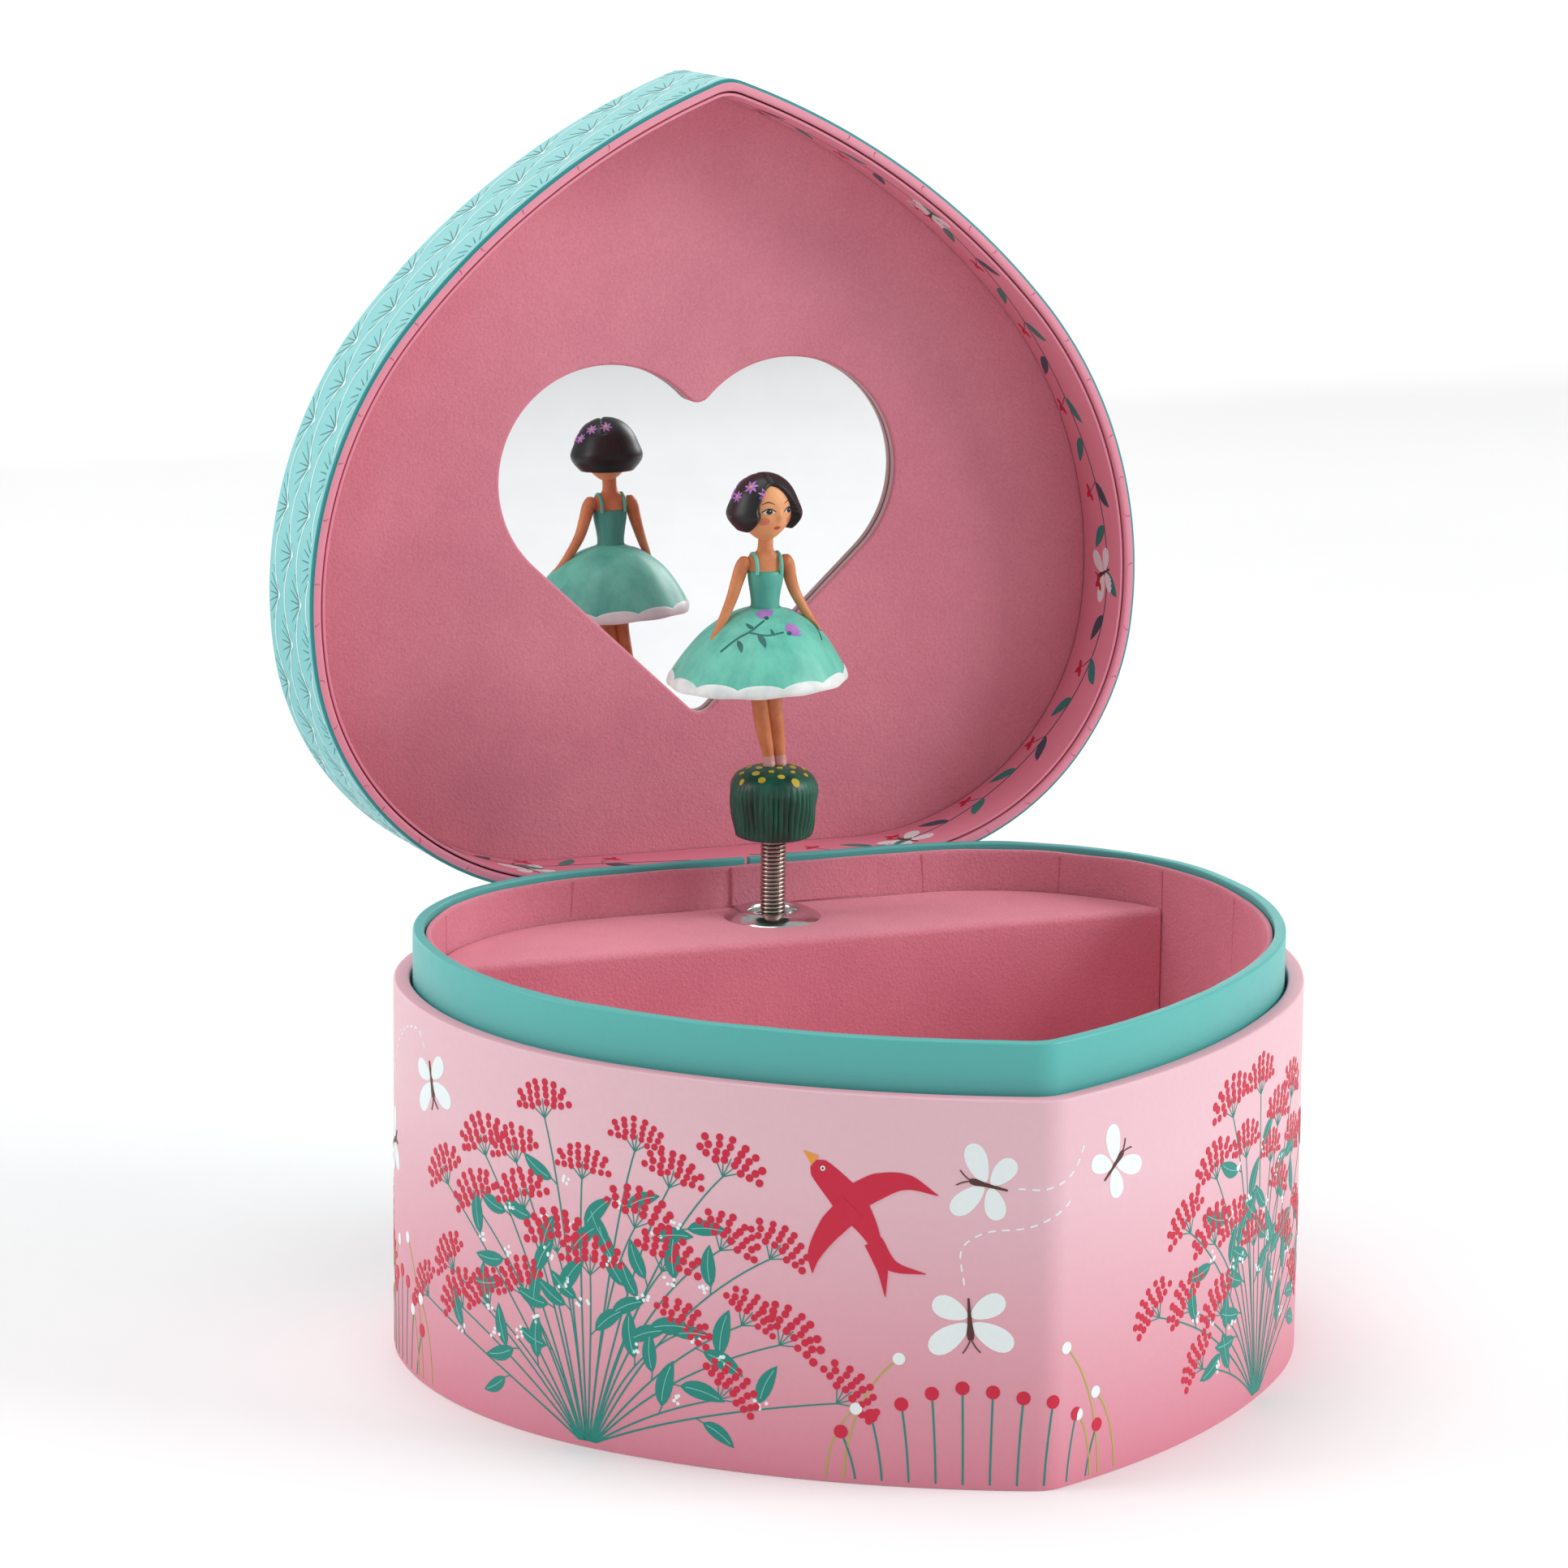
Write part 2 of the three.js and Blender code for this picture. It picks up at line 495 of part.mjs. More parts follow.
function buildFigure() {
  const f = FIGURE;
  const feet = PEDESTAL.top + GLUE_GAP;
  const drop = f.waistZ - f.hemZ;
  const skirt = turned([
    [0, f.hemZ + 1.5], [f.hemR * 0.8, f.hemZ + 0.4], [f.hemR, f.hemZ], [f.hemR * 0.98, f.hemZ + 0.8],
    [f.hemR * 0.8, f.hemZ + drop * 0.45], [f.hemR * 0.5, f.hemZ + drop * 0.82], [f.waistR * 1.3, f.waistZ],
    [f.waistR, f.waistZ + 1], [f.shoulderHalf * 0.9, f.shoulderZ - 2.6], [f.shoulderHalf * 0.8, f.shoulderZ],
    [f.neckR, f.shoulderZ + 1.4], [f.neckR, f.chinZ + 1], [0, f.chinZ + 1]
  ], 20);
  const head = new THREE.SphereGeometry(f.headR, 16, 8)
    .scale(1, 0.95, (f.headTop - f.chinZ) / 2 / f.headR)
    .translate(0, 0, (f.headTop + f.chinZ) / 2);
  const parts = [head];
  for (const side of [-1, 1]) {
    parts.push(limb([side * f.legSpread, 0, feet], [side * f.legSpread, 0, f.hemZ + 3], f.legR * 0.9, f.legR));
    const elbow = [side * f.hemR * 0.42, -0.8, f.waistZ + 1.5];
    parts.push(limb([side * f.shoulderHalf * 0.85, 0, f.shoulderZ - 0.8], elbow, 1.1, 0.9));
    parts.push(limb(elbow, [side * f.hemR * 0.62, -1.5, f.waistZ - 5.5], 0.95, 0.7));
  }
  piece('dancer_figure', join(skirt, ...parts).translate(0, POST_Y, 0), 'resin');
}

// ---------------------------------------------------------------- wheels
// a wheel's outline with straight-sided teeth; the first gap, or tooth, faces angle start
function toothed(teeth, module, start = 0) {
  const pitch = (teeth * module) / 2;
  const tip = pitch + TOOTH_TIP * module;
  const foot = pitch - TOOTH_ROOT * module;
  const points = [];
  for (let i = 0; i < teeth; i += 1) {
    const middle = start + (2 * Math.PI * i) / teeth;
    const step = (2 * Math.PI) / teeth;
    for (const [r, share] of [[foot, -0.29], [tip, -0.12], [tip, 0.12], [foot, 0.29]]) {
      const a = middle + step * share;
      points.push(new THREE.Vector2(r * Math.cos(a), r * Math.sin(a)));
    }
  }
  return points;
}

// a toothed wheel on an X axis, with a bore; start is measured from +Y towards +Z
function wheelX(teeth, module, bore, x0, x1, y, z, start) {
  const shape = slab(toothed(teeth, module, start), 0, x1 - x0, [circle(bore, 0, 0, 12)]);
  return shape.rotateX(Math.PI / 2).rotateZ(Math.PI / 2).translate(x0, y, z);
}

// ---------------------------------------------------------------- movement, about the barrel's axis
const X_PINION = BARREL.r - CROWN.toothWidth - 0.1;
const X_LEFT_PLATE = BARREL.r + 1;
const X_CYLINDER = X_LEFT_PLATE + PLATE + 1;
const X_RIGHT_PLATE = X_CYLINDER + CYLINDER.length + 0.6;
const X_DRIVE = X_RIGHT_PLATE + PLATE + 0.4;
const WHEEL_WIDTH = 1.4;
const X_WORM_WHEEL = X_DRIVE + WHEEL_WIDTH + 1.7;
const X_WORM = X_WORM_WHEEL + WHEEL_WIDTH / 2;
const X_END_PLATE = X_WORM + 2.8;
const GOVERNOR_Z = SHAFT_Z - ((DRIVE_TEETH + GOVERNOR_PINION_TEETH) * TRAIN_MODULE) / 2;
const WORM_PITCH = Math.PI * TRAIN_MODULE;
const WORM_R = WORM_CORE_R + 0.75;
const WORM_Y = -((WORM_WHEEL_TEETH * TRAIN_MODULE) / 2 + WORM_CORE_R + 0.45);
const WORM_TOP = SHAFT_Z + 7;
const BED_TOP = BED.thickness + GLUE_GAP;
const CLUTCH_HEIGHT = 3;

function buildBed() {
  const { x0, x1, y0, y1, corner, thickness } = BED;
  const corners = [[x0 + corner, y0 + corner, 2], [x1 - corner, y0 + corner, 3],
    [x1 - corner, y1 - corner, 0], [x0 + corner, y1 - corner, 1]];
  const outline = corners.flatMap(([x, y, quarter]) => [0, 1, 2, 3].map((i) => {
    const a = (Math.PI / 2) * (quarter + i / 3);
    return new THREE.Vector2(x + corner * Math.cos(a), y + corner * Math.sin(a));
  }));
  const holes = screwPlaces.map(([x, y]) => circle(SCREW_R + SCREW_PLAY, x, y, 12));
  holes.push(circle(ARBOR_R + GLUE_GAP, 0, 0));
  const anvilTop = SHAFT_Z - COMB.thickness / 2 - GLUE_GAP;
  const back = -CYLINDER.r - GLUE_GAP - COMB.toothLength;
  const x2 = X_CYLINDER + CYLINDER.length;
  let bed = solid(slab(outline, 0, thickness, holes));
  bed = bed.add(solid(box(X_CYLINDER, x2, back - COMB.body, back - 1, thickness / 2, anvilTop)));
  for (const x of combScrewX()) {
    bed = bed.subtract(solid(rod(SCREW_R + SCREW_PLAY, anvilTop - 6, anvilTop + 1, x, back - COMB.body / 2, 12)));
  }
  piece('bedplate', fromSolid(bed), 'zinc', movement);
  screwPlaces.forEach(([x, y], i) => {
    const head = rod(SCREW_R * 2.2, -BASE_BOARD - GLUE_GAP - 0.3 - 1.5, -BASE_BOARD - GLUE_GAP - 0.3, x, y, 16);
    const shank = rod(SCREW_R, -BASE_BOARD - 2 * GLUE_GAP - 0.3, thickness, x, y, 12);
    piece(`movement_screw_${i + 1}`, join(head, shank), 'steel', movement);
  });
}

function combScrewX() {
  const middle = X_CYLINDER + CYLINDER.length / 2;
  return [middle - CYLINDER.length * 0.3, middle + CYLINDER.length * 0.3];
}

function buildBarrel() {
  const b = BARREL;
  const top = b.bottom + b.height;
  piece('barrel', turned(closedLoop([
    [ARBOR_R + GLUE_GAP, b.bottom], [b.r, b.bottom], [b.r, top], [b.r - b.wall, top],
    [b.r - b.wall, b.bottom + b.wall], [ARBOR_R + GLUE_GAP, b.bottom + b.wall]
  ]), 36), 'brass', movement);
  const plate = top + GLUE_GAP;
  const disc = turned([[0, plate], [b.r, plate], [b.r, plate + CROWN.plate], [2, plate + CROWN.plate],
    [2, plate + CROWN.plate + 4.5], [0, plate + CROWN.plate + 4.5]], 40);
  const teeth = [];
  const width = (2 * Math.PI * (b.r - CROWN.toothWidth / 2)) / CROWN.teeth * 0.36;
  for (let i = 0; i < CROWN.teeth; i += 1) {
    const tooth = box(b.r - CROWN.toothWidth, b.r - 0.05, -width / 2, width / 2,
      plate + CROWN.plate - 0.2, plate + CROWN.plate + CROWN.toothHeight);
    teeth.push(tooth.rotateZ((2 * Math.PI * (i + 0.5)) / CROWN.teeth));
  }
  piece('barrel_cap', join(disc, mergeGeometries(teeth)), 'brass', movement);
  piece('winding_arbor', rod(ARBOR_R, KEY.bottom + KEY.wingHeight + 1 - MOVEMENT_Z, top - 0.6, 0, 0, 16),
    'steel', movement);
  const coil = [];
  for (let i = 0; i < 3; i += 1) {
    coil.push([ARBOR_R + 0.9, BED_TOP + (CLUTCH_HEIGHT * i) / 3]);
    coil.push([ARBOR_R + 1.2, BED_TOP + (CLUTCH_HEIGHT * (i + 0.5)) / 3]);
  }
  piece('clutch_spring', turned(closedLoop([...coil, [ARBOR_R + 0.9, BED_TOP + CLUTCH_HEIGHT],
    [ARBOR_R + GLUE_GAP, BED_TOP + CLUTCH_HEIGHT], [ARBOR_R + GLUE_GAP, BED_TOP]]), 16), 'steel', movement);
}

function buildMainspring() {
  const turns = 5;
  const per = 14;
  const thickness = 0.35;
  const r0 = ARBOR_R + GLUE_GAP;
  const r1 = BARREL.r - BARREL.wall - GLUE_GAP - thickness;
  const inner = [];
  const outer = [];
  for (let i = 0; i <= turns * per; i += 1) {
    const a = (2 * Math.PI * i) / per;
    const r = r0 + ((r1 - r0) * i) / (turns * per);
    inner.push(new THREE.Vector2(r * Math.cos(a), r * Math.sin(a)));
    outer.push(new THREE.Vector2((r + thickness) * Math.cos(a), (r + thickness) * Math.sin(a)));
  }
  const z0 = BARREL.bottom + BARREL.wall + GLUE_GAP;
  piece('mainspring', slab([...outer, ...inner.reverse()], z0, BARREL.bottom + BARREL.height - 0.6), 'steel', movement);
}

function buildSpindle() {
  const z0 = BARREL.bottom + BARREL.height + GLUE_GAP + CROWN.plate + GLUE_GAP;
  const socket = z0 + 4.5 + 0.6;
  const end = SPRING_FOOT + 3.5 - MOVEMENT_Z;
  const tip = SPRING_R - SPRING_WIRE - GLUE_GAP;
  piece('dancer_spindle', turned([
    [0, socket], [2 + GLUE_GAP, socket], [2 + GLUE_GAP, z0], [3, z0], [3, socket + 1.5], [tip, socket + 3],
    [tip, end], [0, end]
  ], 16), 'brass', movement);
}

function buildCylinder() {
  const x0 = X_CYLINDER;
  const x1 = x0 + CYLINDER.length;
  const { r, wall, pin } = CYLINDER;
  const bore = SHAFT_R + GLUE_GAP;
  const drum = turned(closedLoop([[bore, 0], [r - pin, 0], [r - pin, x1 - x0], [bore, x1 - x0], [bore, x1 - x0 - 1],
    [r - pin - wall, x1 - x0 - 1], [r - pin - wall, 1], [bore, 1]]), 28).rotateY(Math.PI / 2).translate(x0, 0, SHAFT_Z);
  const pins = [];
  const track = CYLINDER.length / COMB.teeth;
  for (let note = 0; note < COMB.teeth; note += 1) {
    for (let k = 0; k < 2; k += 1) {
      const a = 0.6 + (note * 137.5 * Math.PI) / 180 + k * 2.83;
      const x = x0 + track * (note + 0.5);
      const toComb = Math.abs(Math.atan2(Math.sin(a - Math.PI), Math.cos(a - Math.PI)));
      if (toComb > 0.12) {
        pins.push(box(x - 0.2, x + 0.2, r - pin - 0.2, r, -0.2, 0.2).rotateX(a).translate(0, 0, SHAFT_Z));
      }
    }
  }
  piece('pinned_cylinder', join(drum, mergeGeometries(pins)), 'brass', movement);
  piece('cylinder_arbor', rodX(SHAFT_R, X_PINION - 0.3, X_DRIVE + WHEEL_WIDTH + 0.6, 0, SHAFT_Z), 'steel', movement);
  piece('cylinder_pinion', wheelX(PINION_TEETH, GEAR_MODULE, SHAFT_R + GLUE_GAP, X_PINION + 0.1, X_PINION + 1.3,
    0, SHAFT_Z, -Math.PI / 2), 'brass', movement);
  piece('drive_wheel', wheelX(DRIVE_TEETH, TRAIN_MODULE, SHAFT_R + GLUE_GAP, X_DRIVE, X_DRIVE + WHEEL_WIDTH,
    0, SHAFT_Z, -Math.PI / 2), 'brass', movement);
}

function buildBearings() {
  const post = (x, holes) => {
    const plate = box(x, x + PLATE, -3, 3, BED_TOP, SHAFT_Z + 3);
    return cut(plate, ...holes.map(([r, z]) => rodX(r + RUNNING, x - 1, x + PLATE + 1, 0, z, 16)));
  };
  piece('bearing_plate_left', post(X_LEFT_PLATE, [[SHAFT_R, SHAFT_Z]]), 'zinc', movement);
  piece('bearing_plate_right', post(X_RIGHT_PLATE, [[SHAFT_R, SHAFT_Z], [0.6, GOVERNOR_Z]]), 'zinc', movement);
}

function buildComb() {
  const x0 = X_CYLINDER;
  const pitch = CYLINDER.length / COMB.teeth;
  const tip = -CYLINDER.r - GLUE_GAP;
  const back = tip - COMB.toothLength;
  const points = [new THREE.Vector2(x0, back - COMB.body), new THREE.Vector2(x0 + CYLINDER.length, back - COMB.body)];
  for (let i = COMB.teeth - 1; i >= 0; i -= 1) {
    const right = x0 + pitch * (i + 1) - 0.12;
    const left = x0 + pitch * i + 0.12;
    const slit = back + 4 * (i / (COMB.teeth - 1));
    points.push(new THREE.Vector2(right, slit), new THREE.Vector2(right - 0.2, tip));
    points.push(new THREE.Vector2(left + 0.2, tip), new THREE.Vector2(left, slit));
  }
  const holes = combScrewX().map((x) => circle(SCREW_R + SCREW_PLAY, x, back - COMB.body / 2, 12));
  const z0 = SHAFT_Z - COMB.thickness / 2;
  piece('comb', slab(points, z0, z0 + COMB.thickness, holes), 'steel', movement);
  combScrewX().forEach((x, i) => {
    const seat = z0 + COMB.thickness + GLUE_GAP;
    const y = back - COMB.body / 2;
    const head = rod(SCREW_R * 2, seat, seat + COMB_SCREW_HEAD, x, y, 16);
    piece(`comb_screw_${i + 1}`, join(head, rod(SCREW_R, seat - 5, seat + 0.5, x, y, 12)), 'steel', movement);
  });
}

function buildGovernor() {
  const arborEnd = X_END_PLATE + 1;
  piece('governor_arbor', rodX(0.6, X_RIGHT_PLATE + 0.2, arborEnd, 0, GOVERNOR_Z, 12), 'steel', movement);
  piece('governor_pinion', wheelX(GOVERNOR_PINION_TEETH, TRAIN_MODULE, 0.85, X_DRIVE, X_DRIVE + WHEEL_WIDTH,
    0, GOVERNOR_Z, Math.PI / 2 + Math.PI / GOVERNOR_PINION_TEETH), 'brass', movement);
  piece('worm_wheel', wheelX(WORM_WHEEL_TEETH, TRAIN_MODULE, 0.85, X_WORM_WHEEL, X_WORM_WHEEL + WHEEL_WIDTH,
    0, GOVERNOR_Z, Math.PI), 'plastic', movement);
  buildWorm();
  const y0 = WORM_Y - 2.6;
  const holes = [rodX(0.6 + RUNNING, X_END_PLATE - 1, arborEnd + 1, 0, GOVERNOR_Z, 12),
    rod(0.5 + RUNNING, 0, SHAFT_Z + 20, X_WORM, WORM_Y, 10)];
  const arm = WORM_TOP - 1.5;
  const frame = join(box(X_END_PLATE, arborEnd, y0, 3, BED_TOP, arm + 1),
    box(X_WORM - 2, arborEnd, y0, WORM_Y + 2.6, BED_TOP, BED_TOP + 1),
    box(X_WORM - 2, arborEnd, y0, WORM_Y + 2.6, arm, arm + 1));
  piece('governor_frame', cut(frame, ...holes), 'zinc', movement);
}

// the endless screw and the fly that slows the tune
function buildWorm() {
  const turns = 4;
  const low = GOVERNOR_Z - (turns * WORM_PITCH) / 2;
  const per = 10;
  const rings = [];
  for (let i = 0; i <= turns * per; i += 1) {
    const t = i / (turns * per);
    const a = 2 * Math.PI * turns * t - Math.PI / 2;
    const z = low + turns * WORM_PITCH * t;
    for (const [r, dz] of [[WORM_CORE_R - 0.4, -0.22], [WORM_R, -0.1], [WORM_R, 0.1], [WORM_CORE_R - 0.4, 0.22]]) {
      rings.push(r * Math.cos(a), r * Math.sin(a), z + dz);
    }
  }
  const index = [];
  for (let i = 0; i < turns * per; i += 1) {
    for (let k = 0; k < 4; k += 1) {
      const [a, b] = [i * 4 + k, i * 4 + ((k + 1) % 4)];
      index.push(a, a + 4, b, b, a + 4, b + 4);
    }
  }
  const last = turns * per * 4;
  index.push(0, 1, 2, 0, 2, 3, last, last + 2, last + 1, last, last + 3, last + 2);
  const thread = new THREE.BufferGeometry();
  thread.setAttribute('position', new THREE.Float32BufferAttribute(rings, 3));
  thread.setIndex(index);
  const screw = join(turned([[0, BED_TOP + 0.4], [0.5, BED_TOP + 0.4], [0.5, low - 1.5], [WORM_CORE_R, low - 1],
    [WORM_CORE_R, low + turns * WORM_PITCH + 1], [0.5, low + turns * WORM_PITCH + 1.5],
    [0.5, WORM_TOP + FLY.height + 0.4], [0, WORM_TOP + FLY.height + 0.4]], 10), thread);
  piece('governor_worm', screw.translate(X_WORM, WORM_Y, 0), 'steel', movement);
  const hub = turned(closedLoop([[0.5 + GLUE_GAP, WORM_TOP], [1.4, WORM_TOP], [1.4, WORM_TOP + FLY.height],
    [0.5 + GLUE_GAP, WORM_TOP + FLY.height]]), 10);
  const blade = (side) => box(side > 0 ? 1.1 : -FLY.r, side > 0 ? FLY.r : -1.1, -FLY.blade / 2, FLY.blade / 2,
    WORM_TOP + 0.2, WORM_TOP + FLY.height - 0.2);
  piece('governor_fly', join(hub, blade(1), blade(-1)).translate(X_WORM, WORM_Y, 0), 'plastic', movement);
}

// ---------------------------------------------------------------- winding key and stop lever
function buildKey() {
  const k = KEY;
  const wingTop = k.bottom + k.wingHeight;
  const wing = new THREE.Shape();
  wing.moveTo(0, wingTop);
  wing.bezierCurveTo(k.wingHalf * 0.4, wingTop + 1.5, k.wingHalf, wingTop + 0.5, k.wingHalf, wingTop - k.wingHeight / 2);
  wing.bezierCurveTo(k.wingHalf, k.bottom - 0.5, k.wingHalf * 0.4, k.bottom, 0, k.bottom + 1.2);
  wing.bezierCurveTo(-k.wingHalf * 0.4, k.bottom, -k.wingHalf, k.bottom - 0.5, -k.wingHalf, wingTop - k.wingHeight / 2);
  wing.bezierCurveTo(-k.wingHalf, wingTop + 0.5, -k.wingHalf * 0.4, wingTop + 1.5, 0, wingTop);
  const wings = new THREE.ExtrudeGeometry(wing, { depth: k.thickness, bevelEnabled: false, curveSegments: 7 })
    .rotateX(Math.PI / 2).translate(0, k.thickness / 2, 0);
  const stem = rod(k.stemR, k.bottom + 2.5, BASE_TOP - GLUE_GAP);
  const bore = rod(ARBOR_R + GLUE_GAP, wingTop + 0.5, BASE_TOP + 1);
  piece('winding_key', cut(join(wings, stem), bore).translate(0, POST_Y, 0), 'zinc');
}

function buildLever() {
  const l = LEVER;
  const y1 = BACK - WALL - 0.2;
  const y0 = y1 - l.depth;
  const x0 = l.x - l.thickness / 2;
  const x1 = l.x + l.thickness / 2;
  const runY = BACK - INSIDE - 1.5;
  const z0 = l.pivotZ - 0.5;
  const z1 = l.pivotZ + 0.5;
  const flyX = X_WORM;
  const flyReach = POST_Y + WORM_Y + FLY.r + 0.5;
  piece('stop_lever', join(
    box(x0, x1, y0, y1, z0, l.top),
    box(x0, x1, y0, y1 + l.hook, l.top - 1.2, l.top),
    box(x0, x1, runY - 0.5, y1, z0, z1),
    box(x0, flyX + 0.5, runY - 0.5, runY + 0.5, z0, z1),
    box(flyX - 0.5, flyX + 0.5, flyReach, runY, z0, z1)
  ), 'steel');
  const clip = runY + 0.5 + GLUE_GAP;
  const back = BACK - LINING_IN - GLUE_GAP;
  const x = flyX / 2;
  piece('lever_clip', join(box(x, x + 3, clip, back, z0 - 2, z1 + 2),
    box(x, x + 3, runY - 1, back, z1 + GLUE_GAP, z1 + 2), box(x, x + 3, runY - 1, back, z0 - 2, z0 - GLUE_GAP)), 'steel');
}

buildCase();
buildTray();
buildEyelet();
buildLid();
buildHinges();
buildSpring();
buildPedestal();
buildFigure();
buildBed();
buildBarrel();
buildMainspring();
buildSpindle();
buildCylinder();
buildBearings();
buildComb();
buildGovernor();
buildKey();
buildLever();

// origin: on the table, under the middle of the whole object with its lid open
root.updateMatrixWorld(true);
const span = new THREE.Box3().setFromObject(root, true);
root.position.y = -(span.min.y + span.max.y) / 2;

export default root;
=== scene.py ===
import bpy
import bmesh
import math
import numpy as np
from mathutils import Matrix, Vector, noise


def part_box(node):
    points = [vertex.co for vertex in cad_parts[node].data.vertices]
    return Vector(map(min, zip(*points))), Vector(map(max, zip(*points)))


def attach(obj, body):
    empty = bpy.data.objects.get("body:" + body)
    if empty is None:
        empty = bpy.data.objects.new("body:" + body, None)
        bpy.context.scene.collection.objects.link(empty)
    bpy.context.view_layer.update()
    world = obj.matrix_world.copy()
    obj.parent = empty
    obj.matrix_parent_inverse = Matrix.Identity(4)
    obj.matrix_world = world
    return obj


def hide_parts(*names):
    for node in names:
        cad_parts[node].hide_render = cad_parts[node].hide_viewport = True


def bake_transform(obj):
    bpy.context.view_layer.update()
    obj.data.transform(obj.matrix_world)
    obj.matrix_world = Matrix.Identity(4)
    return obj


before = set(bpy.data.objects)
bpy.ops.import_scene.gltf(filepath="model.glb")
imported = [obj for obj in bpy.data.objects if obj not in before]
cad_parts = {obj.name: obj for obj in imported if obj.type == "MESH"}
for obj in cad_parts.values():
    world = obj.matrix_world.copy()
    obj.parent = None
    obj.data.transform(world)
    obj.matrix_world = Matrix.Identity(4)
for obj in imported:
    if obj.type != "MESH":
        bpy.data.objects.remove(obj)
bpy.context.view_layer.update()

# ---------------------------------------------------------------- sizes, mm, in the case's own frame
BACK = 73.5
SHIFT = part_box("outer_box")[1].y * 1000 - BACK
POST_Y = BACK - 16.4
HINGE_Y, HINGE_Z = BACK + 2.4, 66.3
LID_ANGLE = math.radians(-92.35)
WALL_TOP, LEDGE = 66.3, 66.6
PARTITION_Y = BACK - 33.2


def place(points):
    p = np.asarray(points, float).reshape(-1, 3)
    return np.c_[p[:, 0], p[:, 1] + SHIFT, p[:, 2]] * 0.001


def place_lid(points):
    """Points of the closed lid, taken to where the open lid stands."""
    p = np.asarray(points, float).reshape(-1, 3)
    y, z = p[:, 1] - HINGE_Y, p[:, 2] - HINGE_Z
    c, s = math.cos(LID_ANGLE), math.sin(LID_ANGLE)
    return place(np.c_[p[:, 0], HINGE_Y + y * c - z * s, HINGE_Z + y * s + z * c])


# ---------------------------------------------------------------- the petal outline
def raw_half():
    heading, at, points = math.radians(70.4), np.zeros(2), [np.zeros(2)]
    for radius, turn in ((143, 30.3), (79, 47.2), (50, 82.9)):
        total, steps = math.radians(turn), int(turn * 5)
        centre = at + radius * np.array([-math.cos(heading), math.sin(heading)])
        for i in range(1, steps + 1):
            h = heading - total * i / steps
            points.append(centre - radius * np.array([-math.cos(h), math.sin(h)]))
        heading, at = heading - total, points[-1]
    p = np.array(points)
    p = np.c_[p[:, 0] * 80 / p[:, 0].max(), (p[:, 1] / p[-1, 1] - 0.5) * 147]
    flat = np.linspace(p[-1, 0], 0, 60)[1:]
    return np.r_[p, np.c_[flat, np.full(len(flat), BACK)]]


RAW = raw_half()
RAW_T = np.gradient(RAW, axis=0)
RAW_T /= np.linalg.norm(RAW_T, axis=1)[:, None]
RAW_N = np.c_[-RAW_T[:, 1], RAW_T[:, 0]]


def along(points):
    return np.r_[0, np.cumsum(np.linalg.norm(np.diff(points, axis=0), axis=1))]


def half(d, n=150):
    """The right half of the outline moved in by d, from the tip to the middle of the back."""
    q = RAW + RAW_N * d
    if q[0, 0] > 1e-6:
        q = np.r_[[[0, q[0, 1] - q[0, 0] * RAW_T[0, 1] / RAW_T[0, 0]]], q]
    elif d > 0:
        k = np.argmax(q[:, 0] > 0)
        f = q[k - 1, 0] / (q[k - 1, 0] - q[k, 0])
        q = np.r_[[q[k - 1] + f * (q[k] - q[k - 1])], q[k:]]
    q[-1, 0] = 0
    a = along(q)
    blunt = 2.6
    b = np.array([np.interp(blunt, a, q[:, 0]), np.interp(blunt, a, q[:, 1])])
    t = np.linspace(0.5, 1, 7)[:, None]
    corner = (1 - t) ** 2 * (b * [-1, 1]) + 2 * t * (1 - t) * q[0] + t ** 2 * b
    q = np.r_[corner, q[a > blunt]]
    a = along(q) / along(q)[-1]
    u = np.r_[np.linspace(0, 0.014, 9), np.linspace(0.014, 1, n - 8)[1:]]
    return np.c_[np.interp(u, a, q[:, 0]), np.interp(u, a, q[:, 1])]


def full(d, n=150):
    h = half(d, n)
    return np.r_[h, h[1:-1][::-1] * [-1, 1]]


# ---------------------------------------------------------------- meshes
def mesh(name, verts, faces, mats, index=None, sharp=38, smooth=True):
    me = bpy.data.meshes.new(name)
    me.from_pydata([tuple(v) for v in verts], [], faces)
    for m in mats:
        me.materials.append(m)
    if index is not None:
        me.polygons.foreach_set("material_index", np.asarray(index, np.int32))
    me.update()
    bm = bmesh.new()
    bm.from_mesh(me)
    bmesh.ops.remove_doubles(bm, verts=bm.verts, dist=1e-7)
    bmesh.ops.recalc_face_normals(bm, faces=bm.faces)
    bm.to_mesh(me)
    bm.free()
    if smooth:
        me.polygons.foreach_set("use_smooth", np.ones(len(me.polygons), bool))
        me.set_sharp_from_angle(angle=math.radians(sharp))
    o = bpy.data.objects.new(name, me)
    bpy.context.scene.collection.objects.link(o)
    return o


def rounded(profile, radius=0.3, steps=3):
    """A closed profile of (inset, height) points with its corners rounded."""
    out, n = [], len(profile)
    for i, p in enumerate(profile):
        p = np.array(p[:2], float)
        a = np.array(profile[i - 1][:2], float) - p
        b = np.array(profile[(i + 1) % n][:2], float) - p
        m = profile[i][2] if len(profile[i]) > 2 else 0
        before = profile[i - 1][2] if len(profile[i - 1]) > 2 else 0
        la, lb = np.linalg.norm(a), np.linalg.norm(b)
        r = min(radius, la * 0.45, lb * 0.45)
        a, b = p + a / la * r, p + b / lb * r
        for k in range(steps + 1):
            t = k / steps
            q = (1 - t) ** 2 * a + 2 * t * (1 - t) * p + t * t * b
            out.append((q[0], q[1], m if t > 0.5 else before))
    return out


